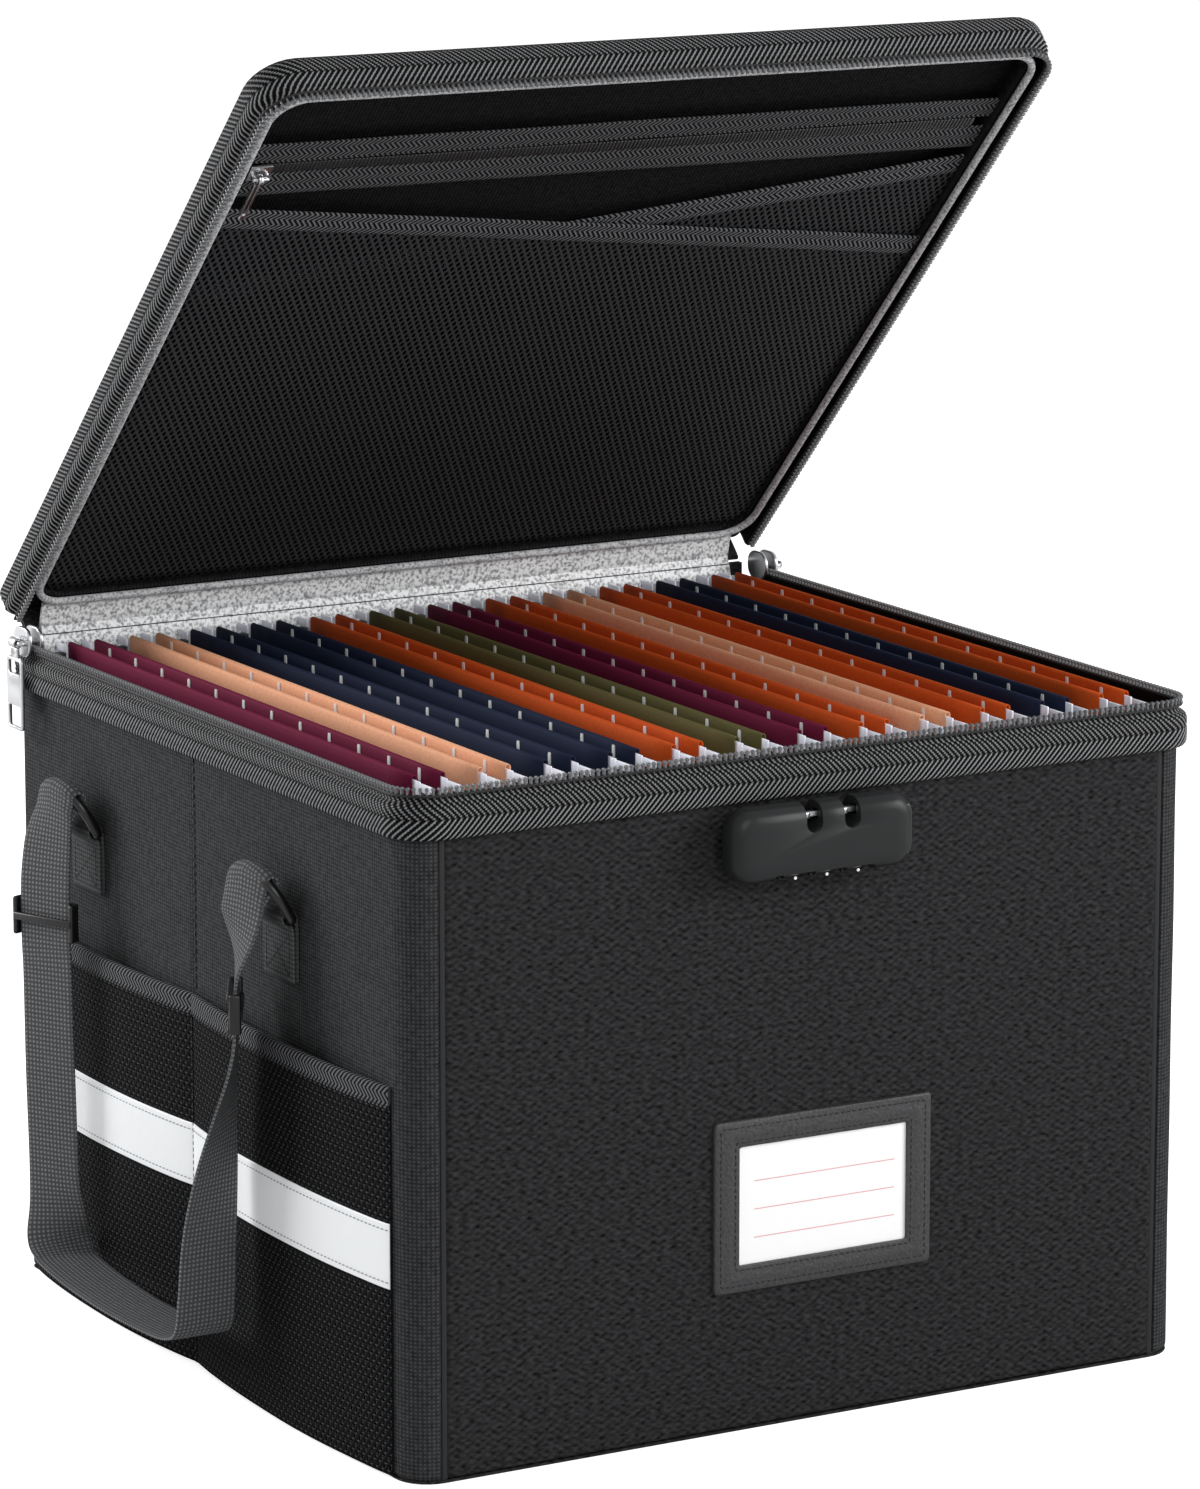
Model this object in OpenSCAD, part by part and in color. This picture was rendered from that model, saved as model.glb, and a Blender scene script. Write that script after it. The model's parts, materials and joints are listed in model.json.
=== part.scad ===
// Portable file box: a zipped fabric box on boards, with hanging folders, a zip-pull
// combination lock and a webbing handle on each side. Origin at the middle of the base,
// X to the right, Y to the back, Z up. The lid is modelled shut and turned open.

/* [Body] */
// Width of the fabric box, side to side
body_w = 342; // [320:1:380]
// Depth of the fabric box, front to back
body_d = 332; // [332:1:352]
// Height of the rim plane, where the two zip rows meet
body_h = 264; // [256:1:300]
// Outer radius of the upright corners
corner_r = 14; // [10:1:18]
// Thickness of the outer cloth
cover_t = 1.2; // [0.8:0.1:1.6]
// Thickness of the stiffening boards
board_t = 3; // [2:0.5:4]
// Thickness of the inner lining
lining_t = 0.8; // [0.5:0.1:1.2]
// Place of the upright fold line in the two side walls, from the middle
fold_y = 10; // [-20:1:20]

/* [Rim zip] */
// Thickness of the padded zip tape
tape_t = 2.4; // [1.8:0.1:3]
// Width of the zip tape, below the rim plane
tape_h = 20; // [16:1:26]
// Distance from one zip tooth to the next
tooth_pitch = 2.35; // [2:0.05:3]
// Height of a zip tooth
tooth_h = 3.4; // [2.5:0.1:4]
// Running gap between the two rows of teeth, where the slider's wedge passes
chain_gap = 1.6; // [1.2:0.1:2.4]
// Length of a zip slider
slider_l = 15; // [12:1:18]
// Width of a zip slider
slider_w = 12; // [10:1:14]
// Length of the slider's pull tab
pull_l = 36; // [24:1:40]

/* [Lid] */
// Height of the lid above the rim plane
lid_h = 20; // [16:1:28]
// Angle at which the lid stands open
lid_open = 45; // [0:1:90]
// Depth at which the lid lining lies above the rim plane
lid_depth = 15; // [12:1:16]
// Radius of the piping round the lid's mouth
piping_r = 1.5; // [1:0.1:2]

/* [Folders] */
// Number of hanging folders
folder_count = 12; // [4:1:12]
// Middle of the first folder, from the left wall's face
folder_start = 19; // [19:1:31]
// Middle of the last folder, from the right wall's face
folder_end = 22.7; // [19:0.1:31]
// Gap between a folder's two flaps at the top
flap_gap = 14; // [10:1:16]
// Length of the folder card, front to back
card_l = 292; // [280:1:296]
// Depth of the folder card, top to bottom
card_h = 232; // [200:1:240]

/* [Side handles] */
// Distance from the middle to the rear and front rings
ring_y = [106, -64]; // [-110:1:120]
// Height of the ring's hinge line
ring_z = 198; // [180:1:220]
// Height of a ring above its hinge line
ring_h = 20; // [16:1:24]
// Width of a ring between its leg centres
ring_w = 28; // [26:1:34]
// Radius of the ring's wire
ring_r = 1.75; // [1.4:0.05:2]
// Lean of the rings away from the wall
ring_tilt = 30; // [10:1:45]
// Width of the handle webbing
strap_w = 25; // [20:1:28]
// Thickness of the handle webbing
strap_t = 1.5; // [1:0.1:2]

/* [Side pockets] */
// Height of the mesh pocket
pocket_h = 150; // [120:1:170]
// How far each half of the pocket stands off the wall
pocket_bulge = 5.5; // [5:0.5:7]
// Lower and upper edge of the reflective strip
reflector_z = [73, 98]; // [40:1:130]

/* [Lock] */
// Width of the lock housing
lock_w = 80; // [70:1:90]
// Height of the lock housing
lock_h = 29; // [26:1:34]
// How far the housing stands off the front
lock_t = 17; // [15:1:20]
// Middle of the lock, from the middle of the front
lock_x = -4; // [-30:1:30]
// How far the lock's middle lies below the rim plane
lock_drop = 34.5; // [34.5:0.5:64]
// Distance between the number wheels
dial_pitch = 13.7; // [11:0.1:14]
// Radius of a number wheel
dial_r = 7; // [6:0.1:7.4]

/* [Label] */
// Width and height of the label holder
label_size = [96, 67]; // [50:1:120]
// Width and height of its window
window_size = [74, 46]; // [30:1:90]
// Middle of the label holder on the front
label_at = [5, 88.5]; // [0:0.5:120]

/* [Hidden] */
$fn = 48;

half_w = body_w / 2;
half_d = body_d / 2;
folder_pitch = (body_w - folder_start - folder_end) / (folder_count - 1);
wall_t = cover_t + board_t + lining_t;
rear_r = 3;                              // upright corners at the back are nearly square
seam_gap = 0.6;                          // groove where two panels are sewn together
wall_top = body_h - 9;                   // the wall stops below the zip slider's path
edge = 0.3;                              // clearance between bodies that pass each other
floor_z = cover_t + board_t;
inner_w = half_w - wall_t;
inner_d = half_d - wall_t;
hinge_y = half_d + tape_t;

teeth_t = tape_t - 0.4;
teeth_z = chain_gap / 2;                 // from the rim plane to the tips of a row
tape_edge = teeth_z + tooth_h;           // where the tape ends and the teeth begin
slider_gap = 0.45;                       // play between slider plate and tape
plate_t = 1.5;
slider_y = half_d - 11;
bridge_x = half_w + tape_t + slider_gap + plate_t + 2.8;

// ---- plan outlines -------------------------------------------------------------------

// Rounded rectangle grown or shrunk about the wall's face; the back corners are tighter.
module plan(inset, front_r, back_r) {
    w = half_w - inset;
    d = half_d - inset;
    union() {
        translate([-w, -d + front_r]) square([2 * w, 2 * d - front_r - back_r]);
        translate([-w + front_r, -d]) square([2 * w - 2 * front_r, front_r + 1]);
        translate([-w + back_r, d - back_r - 1]) square([2 * w - 2 * back_r, back_r + 1]);
        for (s = [-1, 1]) {
            translate([s * (w - front_r), -d + front_r]) circle(r = front_r);
            translate([s * (w - back_r), d - back_r]) circle(r = back_r);
        }
    }
}

module shell_plan(inset) {
    plan(inset, corner_r - inset, max(rear_r - inset, 0.4));
}

module lining_plan(inset) {
    plan(inset, 6, 3);
}

module band_plan(outer, inner) {
    difference() {
        shell_plan(outer);
        shell_plan(inner);
    }
}

// ---- outer covers and boards ---------------------------------------------------------

module base_cover() {
    color([0.16, 0.16, 0.17])
        linear_extrude(cover_t) shell_plan(0);
}

// Front or back panel: flat cloth between the two corner seams
module end_cover(side, corner) {
    w = half_w - corner - seam_gap / 2;
    y = side < 0 ? -half_d : half_d - cover_t;
    translate([-w, y, cover_t]) cube([2 * w, cover_t, wall_top - cover_t]);
}

module front_cover() {
    color([0.19, 0.19, 0.2]) end_cover(-1, corner_r);
}

// The back panel is doubled along its top to make the cloth hinge.
module rear_cover() {
    color([0.19, 0.19, 0.2]) {
        end_cover(1, rear_r);
        w = half_w - rear_r - seam_gap / 2;
        translate([-w, half_d, body_h - tape_h]) cube([2 * w, tape_t, tape_h]);
        translate([-w, half_d - cover_t, wall_top - 1]) cube([2 * w, cover_t, body_h - wall_top + 1]);
    }
}

// Side panel: flat cloth that wraps the front and back corners up to the seams
module side_cover(side) {
    difference() {
        translate([0, 0, cover_t]) linear_extrude(wall_top - cover_t) difference() {
            shell_plan(0);
            shell_plan(cover_t);
            translate([side < 0 ? -half_w + corner_r - seam_gap / 2 : -half_w, -half_d - 1])
                square([2 * half_w - corner_r + seam_gap / 2, half_d]);
            translate([side < 0 ? -half_w + rear_r - seam_gap / 2 : -half_w, -1.5])
                square([2 * half_w - rear_r + seam_gap / 2, half_d + 3]);
        }
    }
}

module left_cover() {
    color([0.22, 0.22, 0.23]) side_cover(-1);
}

module right_cover() {
    color([0.22, 0.22, 0.23]) side_cover(1);
}

module base_board() {
    color([0.45, 0.36, 0.26])
        translate([0, 0, cover_t]) linear_extrude(board_t) shell_plan(cover_t);
}

// Front and back board, and two boards a side that fold along the upright crease
module wall_boards() {
    tall = wall_top - floor_z - 1;
    end_w = half_w - corner_r;
    crease = 1;
    color([0.45, 0.36, 0.26]) translate([0, 0, floor_z]) {
        for (y = [-half_d + cover_t, half_d - cover_t - board_t])
            translate([-end_w, y, 0]) cube([2 * end_w, board_t, tall]);
        for (x = [-half_w + cover_t, half_w - cover_t - board_t]) {
            translate([x, -half_d + corner_r, 0])
                cube([board_t, half_d - corner_r + fold_y - crease / 2, tall]);
            translate([x, fold_y + crease / 2, 0])
                cube([board_t, half_d - corner_r - fold_y - crease / 2, tall]);
        }
    }
}

// Open tray of lining cloth, with its top edge turned over the boards
module body_lining() {
    board_in = cover_t + board_t;
    color([0.07, 0.07, 0.08]) {
        difference() {
            translate([0, 0, floor_z]) linear_extrude(wall_top - floor_z) lining_plan(board_in);
            translate([0, 0, floor_z + lining_t]) linear_extrude(body_h) lining_plan(wall_t);
        }
        translate([0, 0, wall_top - 1]) linear_extrude(1) difference() {
            shell_plan(cover_t);
            lining_plan(board_in + 0.01);
        }
    }
}

// ---- hanging rails and folders -------------------------------------------------------

lip_w = 6;                               // width of the rail's raised lip
hook_room = 3;                           // room between wall and lip for the hook's tip
lip_z = body_h - 6;                      // top of the lip, where the hooks hang
rail_base = 14;                          // height of the lip above the rail's foot
rail_wall = 1.5;

// Channel rail: a foot against the lining and a hollow raised lip
module rail() {
    rotate([90, 0, 90])
        translate([0, 0, -inner_w + 5.5]) linear_extrude(2 * inner_w - 11) difference() {
            union() {
                translate([-inner_d, lip_z - rail_base - rail_wall])
                    square([hook_room + lip_w, rail_wall]);
                translate([-inner_d + hook_room, lip_z - rail_base])
                    square([lip_w, rail_base - 1.5]);
                translate([-inner_d + hook_room + 1.5, lip_z - 1.5]) square([lip_w - 3, 1.5]);
                translate([-inner_d + hook_room + 1.5, lip_z - 1.5]) circle(r = 1.5);
                translate([-inner_d + hook_room + lip_w - 1.5, lip_z - 1.5]) circle(r = 1.5);
            }
            translate([-inner_d + hook_room + rail_wall, lip_z - rail_base - 1])
                square([lip_w - 2 * rail_wall, rail_base - 1]);
        }
}

module front_rail() {
    color([0.1, 0.1, 0.1]) rail();
}

module rear_rail() {
    color([0.1, 0.1, 0.1]) mirror([0, 1, 0]) rail();
}

card_t = 0.8;
bar_t = 1.2;
bar_h = 11;
card_top = lip_z + 5.6;
fold_gap = 3;                            // width of the folded bottom
folder_colors = [[0.48, 0.15, 0.27], [0.91, 0.66, 0.53], [0.16, 0.19, 0.28],
    [0.16, 0.19, 0.28], [0.78, 0.32, 0.12], [0.42, 0.38, 0.25], [0.48, 0.15, 0.27],
    [0.78, 0.32, 0.12], [0.91, 0.66, 0.53], [0.78, 0.32, 0.12], [0.16, 0.19, 0.28],
    [0.78, 0.32, 0.12]];

// One sheet of card folded to a V and over its two bars at the top
module folder_card() {
    half = flap_gap / 2;
    low = card_top - card_h;
    straight = bar_h + 1;
    rotate([90, 0, 0]) linear_extrude(card_l, center = true) difference() {
        polygon([[-half, card_top], [-half, card_top - straight], [-fold_gap / 2, low],
            [fold_gap / 2, low], [half, card_top - straight], [half, card_top],
            [half - card_t - bar_t, card_top], [half - card_t - bar_t, card_top - card_t],
            [half - card_t, card_top - card_t], [half - card_t, card_top - straight],
            [fold_gap / 2 - card_t, low + card_t], [card_t - fold_gap / 2, low + card_t],
            [card_t - half, card_top - straight], [card_t - half, card_top - card_t],
            [card_t + bar_t - half, card_top - card_t], [card_t + bar_t - half, card_top]]);
    }
}

// Hanger bar with a hooked tip at both ends that drops over the rail
module hanger_bar() {
    tip_y = inner_d - edge - 0.2;
    lip_out = inner_d - hook_room + edge;
    lip_in = inner_d - hook_room - lip_w - 2;
    top = card_top - card_t;
    low = top - bar_h;
    rotate([90, 0, 90]) linear_extrude(bar_t) difference() {
        union() {
            translate([-card_l / 2, low]) square([card_l, bar_h]);
            for (s = [-1, 1]) {
                translate([s > 0 ? card_l / 2 - 1 : -tip_y, lip_z])
                    square([tip_y - card_l / 2 + 1, top - lip_z]);
                translate([s > 0 ? lip_out : -tip_y, lip_z - 7])
                    square([tip_y - lip_out, top - lip_z + 7]);
            }
        }
        for (s = [-1, 1])
            translate([s > 0 ? lip_in : -lip_in - 3, low - 1]) square([3, lip_z - low + 1]);
    }
}

module folder(index) {
    half = flap_gap / 2;
    translate([folder_start - body_w / 2 + (index - 1) * folder_pitch, 0, 0]) {
        color(folder_colors[index - 1]) folder_card();
        color([0.87, 0.89, 0.96]) {
            translate([-half + card_t, 0, 0]) hanger_bar();
            translate([half - card_t - bar_t, 0, 0]) hanger_bar();
        }
    }
}

// ---- rim zip -------------------------------------------------------------------------

tooth_w = tooth_pitch / 2 - 0.05;
side_run = 2 * half_d - corner_r - rear_r;
front_run = 2 * half_w - 2 * corner_r;

cord_h = 0.9;                            // height of the cord that the teeth stand on

// A straight row of teeth along X from the origin, on a strip sunk in the cord
module tooth_row(length) {
    count = floor(length / tooth_pitch);
    core = cord_h;
    rotate([90, 0, 0]) linear_extrude(teeth_t, center = true) polygon(concat(
        [[0, core / 3], [0, core]],
        [for (i = [0:count - 1]) each [[i * tooth_pitch + 0.5, core],
            [i * tooth_pitch + 0.5, tooth_h], [i * tooth_pitch + 0.5 + tooth_w, tooth_h],
            [i * tooth_pitch + 0.5 + tooth_w, core]]],
        [[length, core], [length, core / 3]]));
}

// Teeth round a front corner
module tooth_corner() {
    r_mid = corner_r + tape_t / 2;
    count = floor(r_mid * PI / 2 / tooth_pitch);
    for (i = [0:count - 1])
        rotate(180 + (i + 0.5) * 90 / count)
            translate([r_mid - teeth_t / 2, -tooth_w / 2, cord_h / 2])
                cube([teeth_t, tooth_w, tooth_h - cord_h / 2]);
}

// The one cord that runs down both sides and along the front under the teeth
module tooth_cord() {
    out = (tape_t + teeth_t) / 2 - 0.2;
    linear_extrude(cord_h) difference() {
        band_plan(-out, out - tape_t);
        translate([-2 * half_w, half_d - rear_r]) square([4 * half_w, half_d]);
    }
}

// Zip row down both sides and along the front, standing up from z = 0
module zip_row() {
    x = half_w + tape_t / 2;
    y = half_d + tape_t / 2;
    tooth_cord();
    translate([-x, half_d - rear_r, 0]) rotate(-90) tooth_row(side_run);
    translate([x, -half_d + corner_r, 0]) rotate(90) tooth_row(side_run);
    translate([-half_w + corner_r, -y, 0]) tooth_row(front_run);
    translate([-half_w + corner_r, -half_d + corner_r, 0]) tooth_corner();
    translate([half_w - corner_r, -half_d + corner_r, 0]) mirror([1, 0, 0]) tooth_corner();
}

// Zip tape: runs round both sides and the front and stops at the cloth hinge
module zip_tape(low, high) {
    translate([0, 0, low]) linear_extrude(high - low) difference() {
        band_plan(-tape_t, 0);
        translate([-half_w + rear_r - seam_gap / 2, 0])
            square([2 * (half_w - rear_r) + seam_gap, half_d + 20]);
    }
}

module body_zip_tape() {
    color([0.4, 0.4, 0.41]) zip_tape(body_h - tape_h, body_h - tape_edge);
}

module body_zip_teeth() {
    color([0.55, 0.55, 0.56]) translate([0, 0, body_h - tape_edge]) zip_row();
}

// ---- lid -----------------------------------------------------------------------------

// Carries lid pieces, drawn shut with the rim plane at z = 0, to the open lid
module on_lid() {
    translate([0, hinge_y, body_h]) rotate([-lid_open, 0, 0]) translate([0, -hinge_y, 0])
        children();
}

lid_top_t = 1.2;
pad_t = 5.2;                             // thickness of the padded wall inside the tape
pad_z = slider_w / 2 + 0.7;              // it starts above the slider's path
mouth = pad_t;                           // inset of the lid's mouth from the box wall
mouth_r = 12;
rear_mouth = 13;                         // inset of the mouth at the hinge side
panel_z = lid_depth;

module mouth_plan(grow) {
    w = half_w - mouth + grow;
    y0 = -half_d + mouth - grow;
    y1 = half_d - rear_mouth + grow;
    r = mouth_r + grow;
    union() {
        translate([-w + r, y0]) square([2 * w - 2 * r, y1 - y0]);
        translate([-w, y0 + r]) square([2 * w, y1 - y0 - 2 * r]);
        for (x = [-w + r, w - r], y = [y0 + r, y1 - r]) translate([x, y]) circle(r = r);
    }
}

// Top cloth, and the back flap that folds at the hinge line
module lid_cover() {
    color([0.2, 0.2, 0.21]) on_lid() {
        translate([0, 0, lid_h - lid_top_t]) linear_extrude(lid_top_t) shell_plan(-tape_t);
        w = half_w - rear_r - seam_gap / 2;
        translate([-w, half_d, edge]) cube([2 * w, tape_t, lid_h - lid_top_t - edge]);
    }
}

module lid_board() {
    color([0.45, 0.36, 0.26]) on_lid()
        translate([0, 0, panel_z + lining_t])
            linear_extrude(lid_h - lid_top_t - panel_z - lining_t) shell_plan(0);
}

// Inner tray of lining with a padded rim round the mouth
module lid_lining() {
    color([0.06, 0.06, 0.07]) on_lid() difference() {
        translate([0, 0, pad_z]) linear_extrude(panel_z + lining_t - pad_z) shell_plan(0);
        translate([0, 0, pad_z - 1]) linear_extrude(panel_z - pad_z + 1) mouth_plan(0);
    }
}

module lid_zip_tape() {
    color([0.4, 0.4, 0.41]) on_lid() zip_tape(tape_edge, lid_h - lid_top_t);
}

module lid_zip_teeth() {
    color([0.55, 0.55, 0.56]) on_lid() translate([0, 0, tape_edge]) mirror([0, 0, 1]) zip_row();
}

// Piping: a round cord along the edge of the lid's mouth
module lid_piping() {
    w = half_w - mouth + piping_r;
    y0 = -half_d + mouth - piping_r;
    y1 = half_d - rear_mouth + piping_r;
    r = mouth_r + piping_r;
    color([0.6, 0.6, 0.6]) on_lid() translate([0, 0, pad_z - piping_r]) {
        for (x = [-w, w]) translate([x, y0 + r, 0]) rotate([-90, 0, 0])
            cylinder(r = piping_r, h = y1 - y0 - 2 * r);
        for (y = [y0, y1]) translate([-w + r, y, 0]) rotate([0, 90, 0])
            cylinder(r = piping_r, h = 2 * w - 2 * r);
        for (c = [[w - r, y1 - r, 0], [-w + r, y1 - r, 90], [-w + r, y0 + r, 180],
            [w - r, y0 + r, 270]])
            translate([c[0], c[1], 0]) rotate(c[2]) rotate_extrude(angle = 90)
                translate([r, 0]) circle(r = piping_r);
    }
}

// Light woven strip from the hinge line to the piping
module hinge_strip() {
    w = half_w - rear_r - tape_t - slider_gap - plate_t - 2;
    y_in = half_d - rear_mouth + 2 * piping_r + 0.2;
    color([0.75, 0.76, 0.77]) on_lid() rotate([90, 0, 90])
        linear_extrude(2 * w, center = true)
            polygon([[half_d - 0.2, edge + 0.2], [half_d - 0.2, edge + 2], [y_in, pad_z],
                [y_in, pad_z - 1.4], [half_d - 1.2, edge + 0.2]]);
}

// ---- lid pockets ---------------------------------------------------------------------

// Distances from the hinge line along the lid, in the order that they lie
upper_tape_y = [288, 299];
lower_tape_y = [269, 282];
mesh_z = panel_z - 5;                    // the mesh stands off the lining
mesh_t = 0.8;
binding_w = 12;
cross_y = [214, 264];                    // heights of the two slanted mouths at the sides
pocket_w = half_w - mouth - 0.6;
coil_t = 1.6;

function lid_y(along) = hinge_y - along;

// Two tapes of the lid pocket's zip, sewn to the tray at both ends
module pocket_zip_tape() {
    color([0.2, 0.2, 0.2]) on_lid() for (band = [upper_tape_y, lower_tape_y])
        translate([-pocket_w, lid_y(band[1]), mesh_z - mesh_t])
            cube([2 * pocket_w, band[1] - band[0], mesh_t]);
}

// Closed row of coils between the two tapes
module pocket_zip_teeth() {
    length = 2 * pocket_w - 16;
    pitch = 3.2;
    count = floor(length / pitch);
    y0 = lid_y(upper_tape_y[0]);
    wide = upper_tape_y[0] - lower_tape_y[1];
    color([0.25, 0.25, 0.25]) on_lid() translate([-length / 2, y0, mesh_z - coil_t])
        linear_extrude(coil_t) polygon(concat(
            [[0, wide / 2 - 0.6], [0, wide]],
            [[length, wide], [length, wide / 2 - 0.6]],
            [for (i = [count - 1:-1:0]) each [[i * pitch + 2, wide / 2 - 0.6],
                [i * pitch + 2, 0], [i * pitch + 0.4, 0], [i * pitch + 0.4, wide / 2 - 0.6]]]));
}

pocket_slider_x = -half_w + 12;
pocket_chain_y = hinge_y - (upper_tape_y[0] + lower_tape_y[1]) / 2;
small_l = 9;
small_w = 8;

// Small slider on the pocket zip: one plate outside the coil with a bridge
module pocket_slider() {
    z = mesh_z - coil_t - edge;
    color([0.85, 0.85, 0.87]) on_lid() translate([pocket_slider_x, pocket_chain_y, 0]) {
        translate([0, 0, z - 1.2]) linear_extrude(1.2) union() {
            translate([-small_l / 2 + 2, 0]) circle(d = small_w);
            translate([-small_l / 2 + 2, -3]) square([small_l - 2, 6]);
        }
        for (x = [-3.4, 2.2]) translate([x, -0.9, z - 3.9]) cube([1.2, 1.8, 2.8]);
        translate([-3.4, 0, z - 3.9]) rotate([0, 90, 0]) cylinder(r = 0.9, h = 6.8);
    }
}

// Thin pull with an eye round the slider's bridge; it hangs towards the hinge
module pocket_pull() {
    z = mesh_z - coil_t - edge - 3.9;
    length = 22;
    color([0.85, 0.85, 0.87]) on_lid() translate([pocket_slider_x - 0.6, pocket_chain_y, z])
        rotate([0, 90, 0]) difference() {
            linear_extrude(2, center = true) difference() {
                union() {
                    circle(r = 2.3);
                    translate([-0.8, 0]) square([1.6, length]);
                    translate([0, length]) circle(r = 1.6);
                }
                circle(r = 0.9 + edge);
            }
        }
}

// Mesh with a slanted bound mouth, sewn down along its other edges
module slanted_mesh(from_y, to_y, z) {
    low = hinge_y - half_d + rear_mouth + 2;
    cut = mouth_r * 0.7;                 // keeps clear of the mouth's rounded corners
    color([0.12, 0.12, 0.13]) on_lid() translate([0, 0, z - mesh_t]) {
        linear_extrude(mesh_t) polygon([[-pocket_w, lid_y(low + cut)],
            [-pocket_w + cut, lid_y(low)], [pocket_w - cut, lid_y(low)],
            [pocket_w, lid_y(low + cut)], [pocket_w, lid_y(to_y - binding_w)],
            [-pocket_w, lid_y(from_y - binding_w)]]);
        translate([0, 0, -0.6]) linear_extrude(mesh_t + 0.6)
            polygon([[-pocket_w, lid_y(from_y)], [-pocket_w, lid_y(from_y - binding_w)],
                [pocket_w, lid_y(to_y - binding_w)], [pocket_w, lid_y(to_y)]]);
    }
}

module inner_mesh_pocket() {
    slanted_mesh(cross_y[0], cross_y[1], mesh_z + 0.2);
}

module outer_mesh_pocket() {
    slanted_mesh(cross_y[1], cross_y[0], mesh_z - 1.6);
}

// ---- main zip sliders and pulls --------------------------------------------------------

// Slider on the left side run: two plates on either face of the chain, a wedge between
// them in the gap of the chain, and a bridge for the pull outside
module slider_left() {
    x_out = -half_w - tape_t - slider_gap;
    x_in = -half_w + slider_gap;
    translate([0, slider_y, body_h]) {
        for (x = [x_out - plate_t, x_in]) translate([x, 0, 0]) rotate([90, 0, 90])
            linear_extrude(plate_t) union() {
                translate([-slider_l / 2 + slider_w / 2, 0]) circle(d = slider_w);
                translate([-slider_l / 2 + slider_w / 2, -slider_w / 2 + 1.5])
                    square([slider_l - slider_w / 2, slider_w - 3]);
            }
        translate([x_out - 0.5, -3, -chain_gap / 2 + 0.35])
            cube([x_in - x_out + 1, 5, chain_gap - 0.7]);
        for (y = [-5.5, 4]) translate([-bridge_x - 1, y, -1])
            cube([bridge_x + x_out + 1 - plate_t + 0.5, 1.5, 2]);
        translate([-bridge_x, -5.5, 0]) rotate([-90, 0, 0]) cylinder(r = 1, h = 11);
    }
}

module left_slider() {
    color([0.85, 0.85, 0.87]) slider_left();
}

module right_slider() {
    color([0.85, 0.85, 0.87]) mirror([1, 0, 0]) slider_left();
}

// Pull tab hanging from the bridge: a flat frame with two windows and a grip plate
module pull_left() {
    neck = 6;
    low_w = 14;
    translate([-bridge_x, slider_y, body_h]) rotate([90, 0, 90]) difference() {
        union() {
            rotate([0, 90, 0]) cylinder(r = 2.3, h = neck, center = true);
            linear_extrude(1.4, center = true) difference() {
                union() {
                    translate([-neck / 2, -7]) square([neck, 7]);
                    translate([-low_w / 2, -pull_l]) square([low_w, pull_l - 6]);
                }
                translate([-low_w / 2 + 1.5, -12.5]) square([low_w - 3, 5]);
                translate([-low_w / 2 + 1.5, -pull_l + 1.5]) square([low_w - 3, 8]);
            }
        }
        rotate([0, 90, 0]) cylinder(r = 1 + edge, h = 2 * neck, center = true);
    }
}

module left_pull() {
    color([0.8, 0.8, 0.82]) pull_left();
}

module right_pull() {
    color([0.8, 0.8, 0.82]) mirror([1, 0, 0]) pull_left();
}

// ---- label ------------------------------------------------------------------------------

frame_t = 1.8;
card_room = 0.7;

module label_plate(size, r) {
    union() {
        translate([-size[0] / 2 + r, -size[1] / 2]) square([size[0] - 2 * r, size[1]]);
        translate([-size[0] / 2, -size[1] / 2 + r]) square([size[0], size[1] - 2 * r]);
        for (x = [-1, 1], y = [-1, 1])
            translate([x * (size[0] / 2 - r), y * (size[1] / 2 - r)]) circle(r = r);
    }
}

module label_holder() {
    slip = window_size + [6, 6];
    color([0.27, 0.27, 0.28]) translate([label_at[0], -half_d, label_at[1]])
        rotate([90, 0, 0]) difference() {
            linear_extrude(frame_t) label_plate(label_size, 2);
            translate([0, 0, -1]) linear_extrude(frame_t + 2) label_plate(window_size, 1);
            translate([-slip[0] / 2, -slip[1] / 2, -1]) cube([slip[0], slip[1], 1 + card_room]);
        }
}

module label_card() {
    size = window_size + [5, 5];
    color([0.96, 0.96, 0.95]) translate([label_at[0], -half_d, label_at[1]]) rotate([90, 0, 0])
        translate([-size[0] / 2, -size[1] / 2, 0]) cube([size[0], size[1], card_room - 0.2]);
}

// ---- side pockets -------------------------------------------------------------------------

mesh_cloth = 1;
mouth_h = 8;                             // height of the binding round the pocket's mouth

// Points along one half of the pocket's front, from seam to seam, standing off the wall
function bulge(y0, y1, off, steps) = [for (i = [0:steps]) let (t = i / steps)
    [y0 + (y1 - y0) * t, off + pocket_bulge * pow(sin(180 * t), 0.7)]];

function pocket_line(off) = concat(
    bulge(-half_d + corner_r, fold_y, off, 14),
    bulge(fold_y, half_d - rear_r - 6, off, 14));

// Bowed sheet against the left wall between two heights
module bowed_sheet(off, thick, low, high) {
    inner = pocket_line(off);
    outer = pocket_line(off + thick);
    last = len(inner) - 1;
    translate([-half_w, 0, low]) mirror([1, 0, 0]) linear_extrude(high - low)
        polygon(concat([for (p = outer) [p[1], p[0]]],
            [for (i = [last:-1:0]) [inner[i][1], inner[i][0]]]));
}

// Mesh pocket in two halves, closed at the foot, open at the top
module pocket_left() {
    outer = pocket_line(mesh_cloth);
    bowed_sheet(0, mesh_cloth, cover_t, pocket_h - mouth_h);
    translate([-half_w, 0, cover_t]) mirror([1, 0, 0]) linear_extrude(2)
        polygon(concat([for (p = outer) [p[1], p[0]]],
            [[0, half_d - rear_r - 6], [0, -half_d + corner_r]]));
}

module left_pocket() {
    color([0.11, 0.11, 0.12]) pocket_left();
}

module right_pocket() {
    color([0.11, 0.11, 0.12]) mirror([1, 0, 0]) pocket_left();
}

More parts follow.
